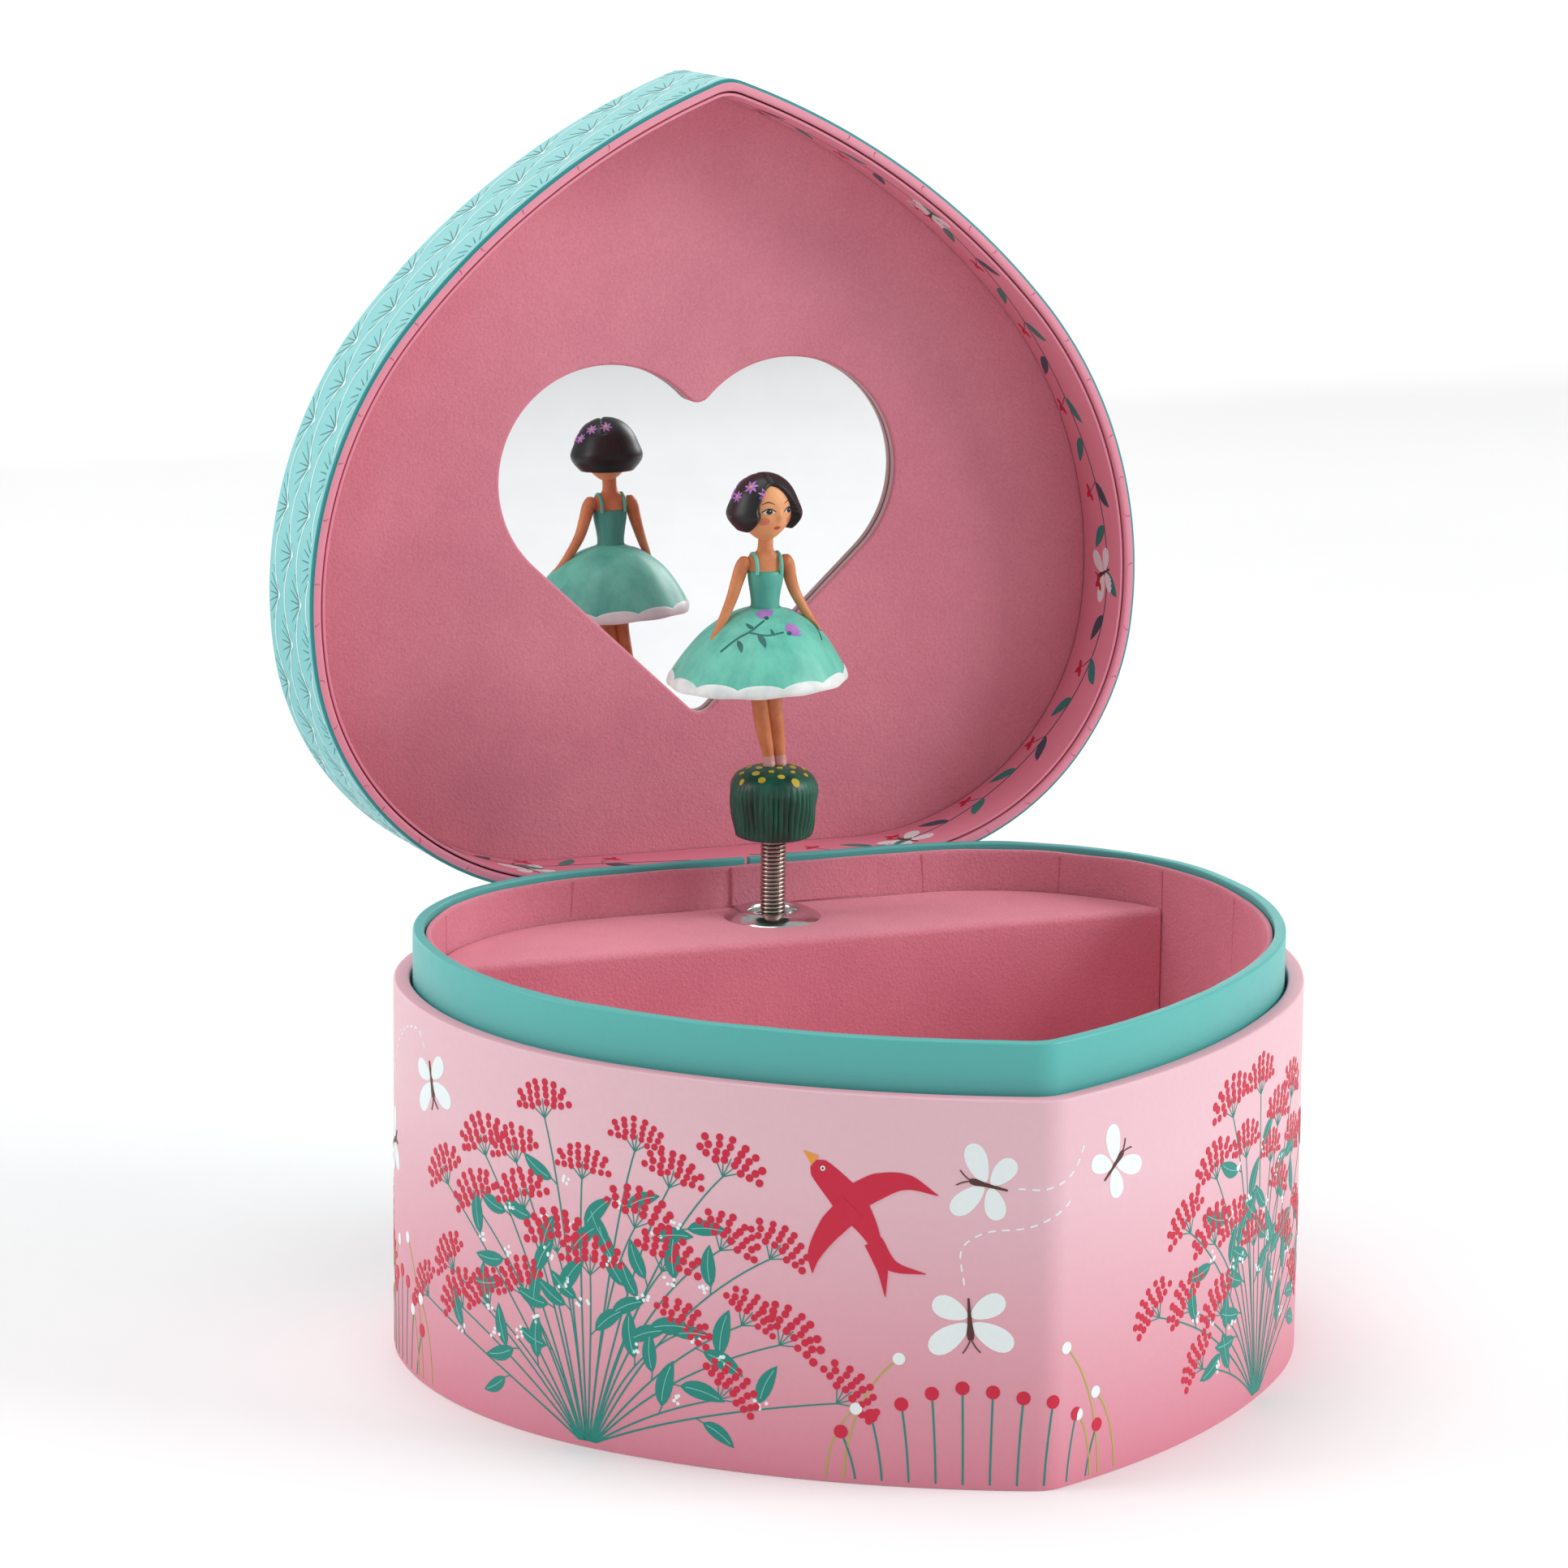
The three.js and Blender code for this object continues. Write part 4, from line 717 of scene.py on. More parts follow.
# ---------------------------------------------------------------- flat shapes laid on a surface
class Ink:
    """Thin printed or painted shapes. at(u, v) gives a surface point in metres and its outward normal."""

    def __init__(self, name, at, mats, lift=0.05):
        self.name, self.at, self.mats, self.lift = name, at, mats, lift
        self.v, self.f, self.m = [], [], []

    def put(self, uv, lift):
        p, n = self.at(*uv)
        self.v += [tuple(p + n * lift / 1000), tuple(p - n * 0.00004)]
        return len(self.v) - 2

    def fan(self, points, colour, layer=1, ring=False):
        lift = self.lift * layer
        points = np.asarray(points, float)
        c = points.mean(0)
        rows = [[self.put(p, lift) for p in points]]
        if ring:
            rows.append([self.put(c + (p - c) * 0.5, lift * 1.15) for p in points])
        mid, k, m = self.put(c, lift * 1.2), len(points), self.mats.index(M[colour])
        for i in range(k):
            j, r = (i + 1) % k, rows[0]
            self.f.append((r[i], r[j], r[j] + 1, r[i] + 1))
            for a, b in zip(rows, rows[1:]):
                self.f += [(a[i], a[j], b[j], b[i]), (a[i] + 1, a[j] + 1, b[j] + 1, b[i] + 1)]
                self.m += [m, m]
            self.f += [(rows[-1][i], rows[-1][j], mid), (rows[-1][i] + 1, rows[-1][j] + 1, mid + 1)]
            self.m += [m, m, m]

    def strip(self, path, width, colour, layer=1):
        """A stroke along a path; width is one number or one for each point."""
        path = np.asarray(path, float)
        t = np.gradient(path, axis=0)
        t /= np.linalg.norm(t, axis=1)[:, None] + 1e-9
        side = np.c_[-t[:, 1], t[:, 0]] * (np.broadcast_to(width, len(path)) / 2)[:, None]
        m, lift = self.mats.index(M[colour]), self.lift * layer
        rows = [(self.put(p + s, lift), self.put(p - s, lift)) for p, s in zip(path, side)]
        for (a, b), (c, d) in zip(rows, rows[1:]):
            self.f += [(a, b, d, c), (a + 1, b + 1, d + 1, c + 1), (a, c, c + 1, a + 1), (b, d, d + 1, b + 1)]
            self.m += [m] * 4
        for a, b in (rows[0], rows[-1]):
            self.f.append((a, b, b + 1, a + 1))
            self.m.append(m)

    def dot(self, u, v, r, colour, layer=1, n=9, squeeze=1.0, turn=0.0):
        a = np.arange(n) / n * 2 * math.pi
        p = np.c_[r * np.cos(a), r * squeeze * np.sin(a)]
        c, s = math.cos(turn), math.sin(turn)
        self.fan(p @ np.array([[c, s], [-s, c]]) + [u, v], colour, layer, ring=r > 1.6)

    def leaf(self, u, v, length, width, turn, colour, vein=None, layer=1):
        t = np.linspace(0, 1, 9)
        w = np.maximum(width * np.sin(np.pi * t ** 0.85) ** 0.8, 0.06)
        bend = 0.06 * length * np.sin(np.pi * t)
        line = np.c_[t * length, bend]
        c, s = math.cos(turn), math.sin(turn)
        line = line @ np.array([[c, s], [-s, c]]) + [u, v]
        self.strip(line, w, colour, layer)
        if vein:
            self.strip(line[1:-1], 0.16, vein, layer + 1)

    def build(self, body, slot):
        o = mesh(self.name, self.v, self.f, self.mats, self.m, 30)
        return add(o, body, slot)


def surface_of(obj, origin, facing, up=(0, 0, 1)):
    """at(u, v) on an object: u mm to the right and v mm up as seen from outside, found along a ray."""
    from mathutils.bvhtree import BVHTree
    me = obj.data
    tree = BVHTree.FromPolygons([v.co for v in me.vertices], [tuple(p.vertices) for p in me.polygons])
    origin, facing, up = Vector(place(origin)[0]), Vector(facing).normalized(), Vector(up)
    right = up.cross(facing).normalized()
    up = facing.cross(right)

    def at(u, v):
        start = origin + right * u / 1000 + up * v / 1000 + facing * 0.05
        hit, normal, _, _ = tree.ray_cast(start, -facing)
        if hit is None:
            hit, normal, _, _ = tree.find_nearest(start - facing * 0.05)
        if normal.dot(facing) < 0:
            normal = -normal
        return np.array(hit), np.array(normal)
    return at


M.update({
    "skin": paint("skin_paint", lin(222, 146, 96), lin(200, 120, 74), 0.5, 0.08),
    "face": paint("face_paint", lin(240, 176, 122), lin(228, 158, 106), 0.5, 0.05),
    "dress": paint("dress_paint", lin(112, 206, 184), lin(82, 178, 160), 0.45, 0.12, (1, 1, 0.25)),
    # The bodice paint is the dress paint made darker: painted shade, for the shade the bodice stands in.
    "bodice": paint("bodice_paint_shaded", lin(84, 176, 158), lin(60, 150, 136), 0.45, 0.12, (1, 1, 0.25)),
    "hem": paint("hem_paint", lin(236, 242, 240), lin(206, 222, 220), 0.45),
    "hair": paint("hair_paint", lin(24, 20, 22), lin(14, 11, 13), 0.42, 0.12, (1, 1, 0.2)),
    "moss": paint("pedestal_paint", lin(24, 102, 80), lin(8, 60, 50), 0.42, 0.3, (1, 1, 0.3)),
    "yellow": paint("yellow_spots", lin(214, 196, 58), lin(186, 162, 40), 0.4),
    "lilac": paint("lilac_paint", lin(190, 132, 206), lin(164, 104, 186), 0.45),
    "stem": paint("stem_paint", lin(20, 112, 104), lin(12, 88, 84), 0.45),
    "shoe": paint("shoe_paint", lin(226, 168, 160), lin(206, 142, 138), 0.45),
    "lips": paint("lip_paint", lin(198, 86, 80), lin(180, 70, 68), 0.4),
    "cheek": paint("cheek_paint", lin(226, 138, 106), lin(218, 128, 98), 0.5),
    "ink": paint("dark_ink", lin(26, 20, 22), lin(12, 10, 12), 0.35),
})
PEDESTAL_SIDE = [(3.5, 84.8), (3.5, 81.6), (6.2, 81.52), (6.85, 81.8), (7.15, 82.6), (7.4, 84.0), (7.62, 85.6),
                 (7.8, 87.2), (7.94, 88.8), (7.98, 89.8), (7.92, 90.7), (7.65, 91.7), (7.1, 92.6), (6.2, 93.3),
                 (4.8, 93.9), (3.3, 94.3), (1.8, 94.52), (0.02, 94.6), (0.02, 84.8)]


def build_pedestal():
    def ribs(a, r, z):
        t = max(0.0, min(1.0, (z - 81.9) / 0.9)) * max(0.0, min(1.0, (91.4 - z) / 1.6))
        wave_a = a * 23 + 0.9 * math.sin(3 * a) + 0.5 * math.sin(7 * a + 1)
        cut = 0.42 * abs(math.sin(wave_a)) ** 0.6 + 0.16 * math.sin(5 * a + 0.8 * z)
        return r - t * (0.45 - cut if r > 5 else 0), z + (0.18 * math.sin(wave_a * 2) * t if z > 88 else 0)
    o = turned("pedestal_moss", PEDESTAL_SIDE, [M["moss"]], n=276, closed=True, shape=ribs, sharp=70)
    add(o, "dancer", "pedestal_paint", "pedestal")
    spots = Ink("pedestal_spots", surface_of(o, (0, POST_Y, 92), (0, 0, 1), (0, 1, 0)), [M["yellow"]], 0.12)
    for k in range(26):
        r, a = 7.3 * math.sqrt((k + 0.7) / 26), k * 2.39996
        if r > 2.3:
            spots.dot(r * math.cos(a), r * math.sin(a), 0.62 + 0.16 * math.sin(k * 1.7), "yellow", 1, 12,
                      0.8, a + math.pi / 2)
    spots.build("dancer", "pedestal_paint")


BODY_X = -2.0                     # the figure stands a little to one side of the post
SKIRT = [(2.75, 123.6), (3.5, 123.25), (5.6, 122.5), (8.2, 121.0), (10.8, 118.8), (13.0, 116.1), (14.7, 113.5),
         (15.7, 111.7), (16.05, 110.7)]


def round_body(a, r, z):
    """The point at angle a and distance r from the body's upright line."""
    return BODY_X + r * math.cos(a), POST_Y + r * math.sin(a), z


def build_skirt():
    line = smooth_line(SKIRT, 34)
    edge = line[-1]
    rim = [(edge[0] - 0.05, edge[1] - 0.28), (edge[0] - 0.45, edge[1] - 0.38), (edge[0] - 0.85, edge[1] - 0.2)]
    under = [(r - 0.9, z - 0.55) for r, z in line[::-1][2:] if r > 2.2]
    profile = [tuple(p) for p in line] + rim + under + [(0.05, 122.6), (0.05, 123.6)]

    def drape(a, r, z):
        t = max(0.0, (r - 3) / 13)
        fold = t * t * (0.13 * math.sin(12 * a + 0.5) + 0.12 * math.sin(7 * a + 2))
        return r + fold, z + t * 0.08 * math.sin(12 * a + 2.0) + t * t * 0.045 * r * math.cos(a)
    o = turned("dress_skirt", profile, [M["dress"]], (BODY_X, POST_Y), 168, None, drape, 60)
    shift_hem(o)
    add(o, "dancer", "painted_resin", "dancer_figure")
    verts, faces, n, rows = [], [], 336, 7
    t = along(line)
    for k in range(n):
        a = 2 * math.pi * k / n
        tall = 1.0 + 1.15 * abs(math.sin(6 * a + 0.4)) ** 0.7
        for j in range(rows):
            s = t[-1] - tall * (1 - j / (rows - 1))
            r, z = np.interp(s, t, line[:, 0]), np.interp(s, t, line[:, 1])
            q = drape(a, r, z)
            lift = 0.07 if j else 0.0
            verts.append(round_body(a, q[0] + lift, q[1] + lift))
        r, z = line[-1] + [-0.42, -0.47]
        q = drape(a, line[-1, 0], line[-1, 1])
        verts.append(round_body(a, q[0] + 0.02, q[1] - 0.34))
        verts.append(round_body(a, q[0] - 0.9, q[1] - 0.36))
    rows += 2
    faces = [(k * rows + j, k * rows + (j + 1) % rows,
              (k + 1) % n * rows + (j + 1) % rows, (k + 1) % n * rows + j)
             for k in range(n) for j in range(rows)]
    band = mesh("dress_hem", place(verts), faces, [M["hem"]], None, 60)
    shift_hem(band)
    add(band, "dancer", "painted_resin")
    facing = Vector((-0.30, -0.86, 0.42))
    inks = [M["lilac"], M["stem"]]
    flowers = Ink("skirt_flowers", surface_of(o, (BODY_X - 0.5, POST_Y, 116.6), facing), inks, 0.06)
    flowers.strip(smooth_line([(-7.6, -3.4), (-4.6, -1.0), (-2.2, 0.4), (0.2, 2.6)], 20), 0.34, "stem")
    flowers.strip(smooth_line([(-2.6, 0.1), (0.5, -0.6), (3.6, 0.2)], 12), 0.3, "stem")
    fan_flower(flowers, 0.6, 3.4, 0.2)
    fan_flower(flowers, 4.6, 0.3, -0.9)
    for u, v, a, s in ((-4.6, -1.4, -1.3, 2.6), (-1.0, -0.4, -1.1, 3.0), (-1.6, 0.8, 2.4, 2.0),
                       (2.0, -0.6, 2.0, 1.6)):
        flowers.leaf(u, v, s, s * 0.36, a, "stem", None, 1)
    flowers.build("dancer", "painted_resin")
    right = Vector((0.72, -0.55, 0.42))
    second = Ink("skirt_flowers_side", surface_of(o, (BODY_X + 2, POST_Y, 117.4), right), inks, 0.06)
    second.strip(smooth_line([(-2.0, -3.0), (0.4, -0.6), (2.2, 1.6)], 14), 0.3, "stem")
    fan_flower(second, 2.6, 2.4, 0.0)
    second.leaf(0.2, -0.8, 2.6, 0.9, -0.4, "stem")
    second.build("dancer", "painted_resin")


def shift_hem(o):
    """The skirt hangs a little further out on one side."""
    for v in o.data.vertices:
        v.co.x -= 0.0013 * max(0.0, min(1.0, (0.1236 - v.co.z) / 0.0125))


def fan_flower(ink, u, v, turn):
    for k in range(5):
        a = turn + math.pi / 2 + (k - 2) * 0.42
        ink.leaf(u - 0.3 * math.cos(a), v - 0.3 * math.sin(a), 2.5, 1.15, a, "lilac")
    ink.dot(u, v - 0.2, 0.42, "stem", 1.3)


def ovals(name, rows, mat, n=40, sharp=70, tf=place):
    """Oval sections (z, centre x, centre y, half width, half depth) joined into one form."""
    a = np.arange(n) / n * 2 * math.pi
    loops = [np.c_[BODY_X + r[1] + r[3] * np.cos(a), POST_Y + r[2] + r[4] * np.sin(a), np.full(n, r[0])]
             for r in rows]
    return loft(name, loops, [M[mat]], [0] * len(loops), tf, sharp)


def build_body():
    torso = smooth_line([(125.0, 0, 0, 2.3, 1.7), (127.0, 0, 0, 2.6, 1.9), (129.5, 0, 0, 3.1, 2.1),
                         (131.2, 0, 0.1, 3.45, 1.95), (132.3, 0, 0.15, 3.5, 1.7), (133.0, 0, 0.2, 2.9, 1.5),
                         (133.6, 0, 0.2, 1.75, 1.4), (134.4, 0, 0.1, 1.4, 1.35), (136.5, 0, 0, 1.35, 1.35),
                         (138.0, 0, 0, 1.35, 1.35)], 40)
    add(ovals("figure_torso", torso, "skin"), "dancer", "painted_resin")
    bodice = smooth_line([(122.9, 0, 0, 3.1, 2.7), (123.5, 0, 0, 2.72, 2.25), (124.6, 0, 0, 2.62, 2.1),
                          (126.4, 0, 0, 2.85, 2.2), (128.4, 0, -0.1, 3.2, 2.45), (129.6, 0, -0.1, 3.32, 2.45),
                          (130.2, 0, 0, 3.38, 2.3)], 24)
    bodice = np.r_[bodice, [(130.3, 0, 0, 3.1, 2.0), (129.9, 0, 0, 2.9, 1.8)]]
    add(ovals("dress_bodice", bodice, "bodice", sharp=50), "dancer", "painted_resin")
    for side in (-1, 1):
        x = BODY_X + side * 2.3
        path = smooth_line([(x, POST_Y - 2.0, 129.9), (x, POST_Y - 2.05, 131.2), (x, POST_Y - 1.35, 132.7),
                            (x, POST_Y + 0.3, 133.3), (x, POST_Y + 1.8, 132.2), (x, POST_Y + 2.1, 129.9)], 26)
        add(tube(f"dress_strap_{'lr'[side > 0]}", path, 0.34, [M["dress"]], 10), "dancer", "painted_resin")
    arms = {"arm_near": [(-3.1, 0.2, 132.3), (-4.3, 0.2, 131.2), (-5.2, 0.3, 128.6), (-6.4, 0.1, 125.2),
                         (-8.6, -0.9, 121.2), (-10.4, -1.9, 118.6)],
            "arm_far": [(3.1, 0.2, 132.3), (4.2, 0.2, 131.2), (4.8, 0.3, 128.8), (5.6, 0.1, 126.2),
                        (6.9, -1.0, 123.3), (8.0, -1.9, 121.3)]}
    for name, p in arms.items():
        p = np.array(p) + [BODY_X, POST_Y, 0]
        path = smooth_line(p, 40)
        t = np.linspace(0, 1, 40)
        radii = np.interp(t, [0, 0.1, 0.3, 0.55, 0.85, 1], [0.8, 1.3, 1.25, 1.06, 0.8, 0.66])
        add(tube(name, path, radii, [M["skin"]], 18), "dancer", "painted_resin")
        d = path[-1] - path[-4]
        d /= np.linalg.norm(d)
        out = np.array([np.sign(d[0]) * 0.35, -0.2, 0.05])
        for k, (spread, length) in enumerate(((-0.5, 2.1), (-0.15, 2.6), (0.2, 2.5), (0.75, 1.5))):
            turn = np.array([0.1, -1, 0.1]) * spread
            tip = path[-1] + (d + out * 0.3 + turn * 0.45) * length
            f = smooth_line([path[-2], path[-1] + d * 0.5 + turn * 0.4, (path[-1] + tip) / 2 + turn * 0.25,
                             tip], 12)
            r = np.interp(np.linspace(0, 1, 12), [0, 0.25, 0.6, 1], [0.62, 0.6, 0.46, 0.2])
            add(tube(f"{name}_finger_{k}", f, r, [M["skin"]], 10), "dancer", "painted_resin")
    for side in (-1, 1):
        path = smooth_line([(side * 1.05 + 0.1, POST_Y - 0.1, 94.6), (side * 1.1 - 0.15, POST_Y, 97.5),
                            (side * 1.25 - 0.9, POST_Y + 0.2, 102), (side * 1.35 - 1.6, POST_Y, 107),
                            (side * 1.5 - 2.0, POST_Y, 112), (side * 1.5 - 2.0, POST_Y, 119)], 46)
        t = np.linspace(0, 1, 46)
        radii = np.interp(t, [0, 0.08, 0.2, 0.38, 0.6, 1], [0.95, 0.98, 1.12, 1.5, 1.5, 1.75])
        add(tube(f"leg_{'lr'[side > 0]}", path, radii, [M["skin"]], 22), "dancer", "painted_resin")
        shoe = smooth_line([(side * 1.05 + 0.1, POST_Y + 0.5, 94.75), (side * 1.05 + 0.1, POST_Y - 0.4, 94.95),
                            (side * 1.1 + 0.1, POST_Y - 1.6, 94.75)], 16)
        r = np.interp(np.linspace(0, 1, 16), [0, 0.3, 0.75, 1], [0.75, 1.1, 0.85, 0.3])
        add(tube(f"shoe_{'lr'[side > 0]}", shoe, r, [M["shoe"]], 16), "dancer", "painted_resin")
        cuff = smooth_line([(side * 1.05 + 0.1, POST_Y - 0.1, 94.5), (side * 1.08, POST_Y - 0.06, 96.4)], 6)
        add(tube(f"shoe_cuff_{'lr'[side > 0]}", cuff, [1.12, 1.15, 1.13, 1.09, 1.07, 1.05], [M["shoe"]], 22),
            "dancer", "painted_resin")


HEAD = np.array([BODY_X - 0.35, POST_Y - 0.2, 141.6])
HEAD_TURN = math.radians(13.6)


def head_point(d, size):
    """A direction from the middle of the head, scaled and turned the way the head looks; -y is forward."""
    p = np.array(d) * size
    c, s = math.cos(HEAD_TURN), math.sin(HEAD_TURN)
    return HEAD + [p[0] * c - p[1] * s, p[0] * s + p[1] * c, p[2]]


def ball(name, shape, mats, nu=96, nv=64):
    verts, faces = [], []
    for i in range(nv + 1):
        v = math.pi * i / nv
        for j in range(nu):
            u = 2 * math.pi * j / nu
            d = (math.sin(v) * math.cos(u), math.sin(v) * math.sin(u), math.cos(v))
            verts.append(head_point(d, shape(d)))
    faces = [(i * nu + j, i * nu + (j + 1) % nu, (i + 1) * nu + (j + 1) % nu, (i + 1) * nu + j)
             for i in range(nv) for j in range(nu)]
    return mesh(name, place(verts), faces, mats, None, 80)


def step(x):
    x = max(0.0, min(1.0, x))
    return x * x * (3 - 2 * x)


def face_size(d):
    x, y, z = d
    low = max(0.0, -z)
    wide = 5.15 * (1 - 0.30 * low ** 1.6)
    deep = 5.0 * (1 - 0.12 * low ** 1.5)
    nose = 0.62 * math.exp(-((x / 0.11) ** 2 + ((z + 0.16) / 0.15) ** 2)) if y < 0 else 0
    brow = 0.12 * math.exp(-(((abs(x) - 0.33) / 0.2) ** 2 + ((z + 0.02) / 0.16) ** 2)) if y < 0 else 0
    return np.array([wide, deep + nose - brow, 5.9])


def hair_size(d):
    x, y, z = d
    full_ = 1 + 0.15 * math.exp(-((z + 0.22) / 0.34) ** 2)
    size = np.array([6.1 * full_, (6.0 if y > 0 else 5.75) * full_, 6.35])
    px, pz = x * size[0], z * size[2]
    if y < 0:
        part = -0.9
        top = 4.7 - 0.24 * (px - part) ** 2 if px > part else 4.7 - 0.34 * (px - part) ** 2
        inside = min(top - pz, 4.35 - abs(px + 0.1))
        k = step(inside / 0.5 + 0.5) * step(-y / 0.12)
        size = size * (1 - 0.42 * k)
    end = step((-z - 0.60) / 0.16)
    size = size * np.array([1 - 0.42 * end, 1 - 0.42 * end, 1 - 0.28 * end])
    groove = 0.05 * math.exp(-((px + 0.9) / 0.28) ** 2) * (1 if pz > 3.5 else 0)
    return size * (1 - groove)


def build_head():
    face = ball("figure_face", face_size, [M["face"]], 120, 80)
    add(face, "dancer", "painted_resin")
    add(ball("figure_hair", hair_size, [M["hair"]], 160, 110), "dancer", "painted_resin")
    c, s = math.cos(HEAD_TURN), math.sin(HEAD_TURN)
    front = (s, -c, 0)
    at = surface_of(face, tuple(HEAD), front)
    f = Ink("face_features", at, [M["ink"], M["hem"], M["lips"], M["cheek"]], 0.035)
    for side in (-1, 1):
        x = side * 2.05
        f.dot(x * 1.28, -1.75, 0.85, "cheek", 1, 18, 0.8)
        lid = [(x - 1.05, -0.02), (x - 0.5, 0.42), (x + 0.1, 0.52), (x + 0.7, 0.3), (x + 1.1, -0.06),
               (x + 0.5, -0.34),
               (x - 0.1, -0.42), (x - 0.7, -0.26)]
        f.fan(lid, "hem", 1.4)
        f.dot(x + 0.05, 0.04, 0.56, "ink", 2.4, 16, 0.8)
        # The small white dot on each pupil is a painted highlight, a glint of light in the eye.
        f.dot(x + 0.18, 0.2, 0.1, "hem", 3.2, 8)
        f.strip(smooth_line([(x - 1.15, -0.05), (x - 0.5, 0.46), (x + 0.1, 0.57), (x + 0.75, 0.34),
                             (x + 1.2, 0.0)], 16), 0.17, "ink", 2.6)
        f.strip(smooth_line([(x - 1.05, 1.35), (x, 1.75), (x + 1.05, 1.3)], 14),
                np.interp(np.linspace(0, 1, 14), [0, 0.5, 1], [0.06, 0.17, 0.06]), "ink", 1.6)
    f.leaf(-0.75, -2.95, 1.5, 0.34, -0.04, "lips", None, 1.6)
    f.leaf(0.62, -3.14, 1.24, 0.30, math.pi + 0.04, "lips", None, 1.7)
    f.build("dancer", "painted_resin")
    blooms = Ink("hair_flowers", at, [M["lilac"], M["yellow"]], 0.12)
    blooms.at = surface_of(bpy.data.objects["figure_hair"], tuple(HEAD), (-0.62, -0.62, 0.48))
    for u, v, r in ((-0.6, 1.6, 1.15), (2.2, 0.6, 1.05), (-3.0, -0.2, 0.9)):
        for k in range(7):
            a = k / 7 * 2 * math.pi + u
            blooms.leaf(u + 0.15 * math.cos(a), v + 0.15 * math.sin(a), r * 1.05, r * 0.42, a, "lilac")
        blooms.dot(u, v, r * 0.24, "yellow", 1.6)
    blooms.build("dancer", "painted_resin")
    behind = surface_of(bpy.data.objects["figure_hair"], tuple(HEAD), (-0.35, 0.75, 0.55))
    rear = Ink("hair_flowers_back", behind,
               [M["lilac"], M["yellow"]], 0.12)
    for u, v, r in ((-0.4, 1.8, 1.0), (2.3, 1.4, 0.95), (4.4, 0.2, 0.8)):
        for k in range(7):
            a = k / 7 * 2 * math.pi + u
            rear.leaf(u + 0.15 * math.cos(a), v + 0.15 * math.sin(a), r * 1.05, r * 0.42, a, "lilac")
        rear.dot(u, v, r * 0.24, "yellow", 1.6)
    rear.build("dancer", "painted_resin")


build_pedestal()
build_skirt()
build_body()
build_head()
# ---------------------------------------------------------------- printed patterns
M.update({
    "red": paper("print_red", lin(206, 26, 62), lin(206, 26, 62)),
    "green": paper("print_teal", lin(24, 138, 126), lin(24, 138, 126)),
    "pale": paper("print_vein", lin(120, 196, 184), lin(120, 196, 184)),
    "snow": paper("print_white", lin(238, 248, 248), lin(238, 248, 248)),
    "brown": paper("print_brown", lin(84, 44, 36), lin(84, 44, 36)),
    "orange": paper("print_orange", lin(236, 158, 62), lin(236, 158, 62)),
    "olive": paper("print_olive", lin(176, 176, 84), lin(176, 176, 84)),
    "deep": paper("print_deep_teal", lin(18, 108, 112), lin(18, 108, 112)),
    "vine": paper("print_vine", lin(44, 84, 96), lin(44, 84, 96)),
})


def jitter(*key):
    """A repeatable number from -1 to 1."""
    return max(-1.0, min(1.0, 1.6 * noise.noise(Vector([k * 7.31 + 0.37 for k in (*key, 0, 0)][:3]))))


def wall_map(d, outward, tf, z0=0.0):
    line = half(d, 1200)
    a = along(line)
    t = np.gradient(line, axis=0)
    t /= np.linalg.norm(t, axis=1)[:, None]
    normal = np.c_[t[:, 1], -t[:, 0]] * outward
    base = tf([[0, 0, 0]])[0]

    def at(u, v):
        s = 1 if u >= 0 else -1
        q = min(abs(u), 2 * a[-1] - abs(u))
        s = s if abs(u) <= a[-1] else -s
        x, y, nx, ny = (np.interp(q, a, c) for c in (line[:, 0], line[:, 1], normal[:, 0], normal[:, 1]))
        if q < 2.5:
            nx, ny = nx * q / 2.5, ny
        n = np.array([s * nx, ny, 0]) / math.hypot(nx, ny)
        return tf([[s * x, y, z0 + v]])[0], (tf([n])[0] - base) * 1000
    return at, a[-1]


def curve(a, b, c, n=14):
    """n points from a to c, drawn towards b."""
    a, b, c = (np.array(p, float) for p in (a, b, c))
    t = np.linspace(0, 1, n)[:, None]
    return (1 - t) ** 2 * a + 2 * t * (1 - t) * b + t * t * c


def taper(n, at, widths):
    """n stroke widths, given at some shares of the stroke's length."""
    return np.interp(np.linspace(0, 1, n), at, widths)


def umbel(ink, u, v, turn, size, seed):
    for k in range(-2, 3):
        a = turn + k * 0.42
        end = (u + 3.4 * size * math.cos(a), v + 3.4 * size * math.sin(a))
        ink.strip(curve((u, v), ((u + end[0]) / 2, (v + end[1]) / 2), end, 4), 0.2, "green")
    for j, (count, spread) in enumerate(((4, 0.74), (6, 0.92), (8, 1.0), (6, 0.66))):
        for k in range(count):
            a = (k / (count - 1) - 0.5) * 2 * spread + 0.05 * jitter(seed, j, k)
            r = (3.0 + 1.34 * j + 0.18 * jitter(seed, k, j)) * size
            x, y = r * math.cos(a) * 0.92, r * math.sin(a) * 1.18
            x -= 0.35 * abs(math.sin(a)) * size * j
            ink.dot(u + x * math.cos(turn) - y * math.sin(turn), v + x * math.sin(turn) + y * math.cos(turn),
                    (0.66 + 0.06 * jitter(seed, j + 5, k)) * size, "red", 1.5, 9)


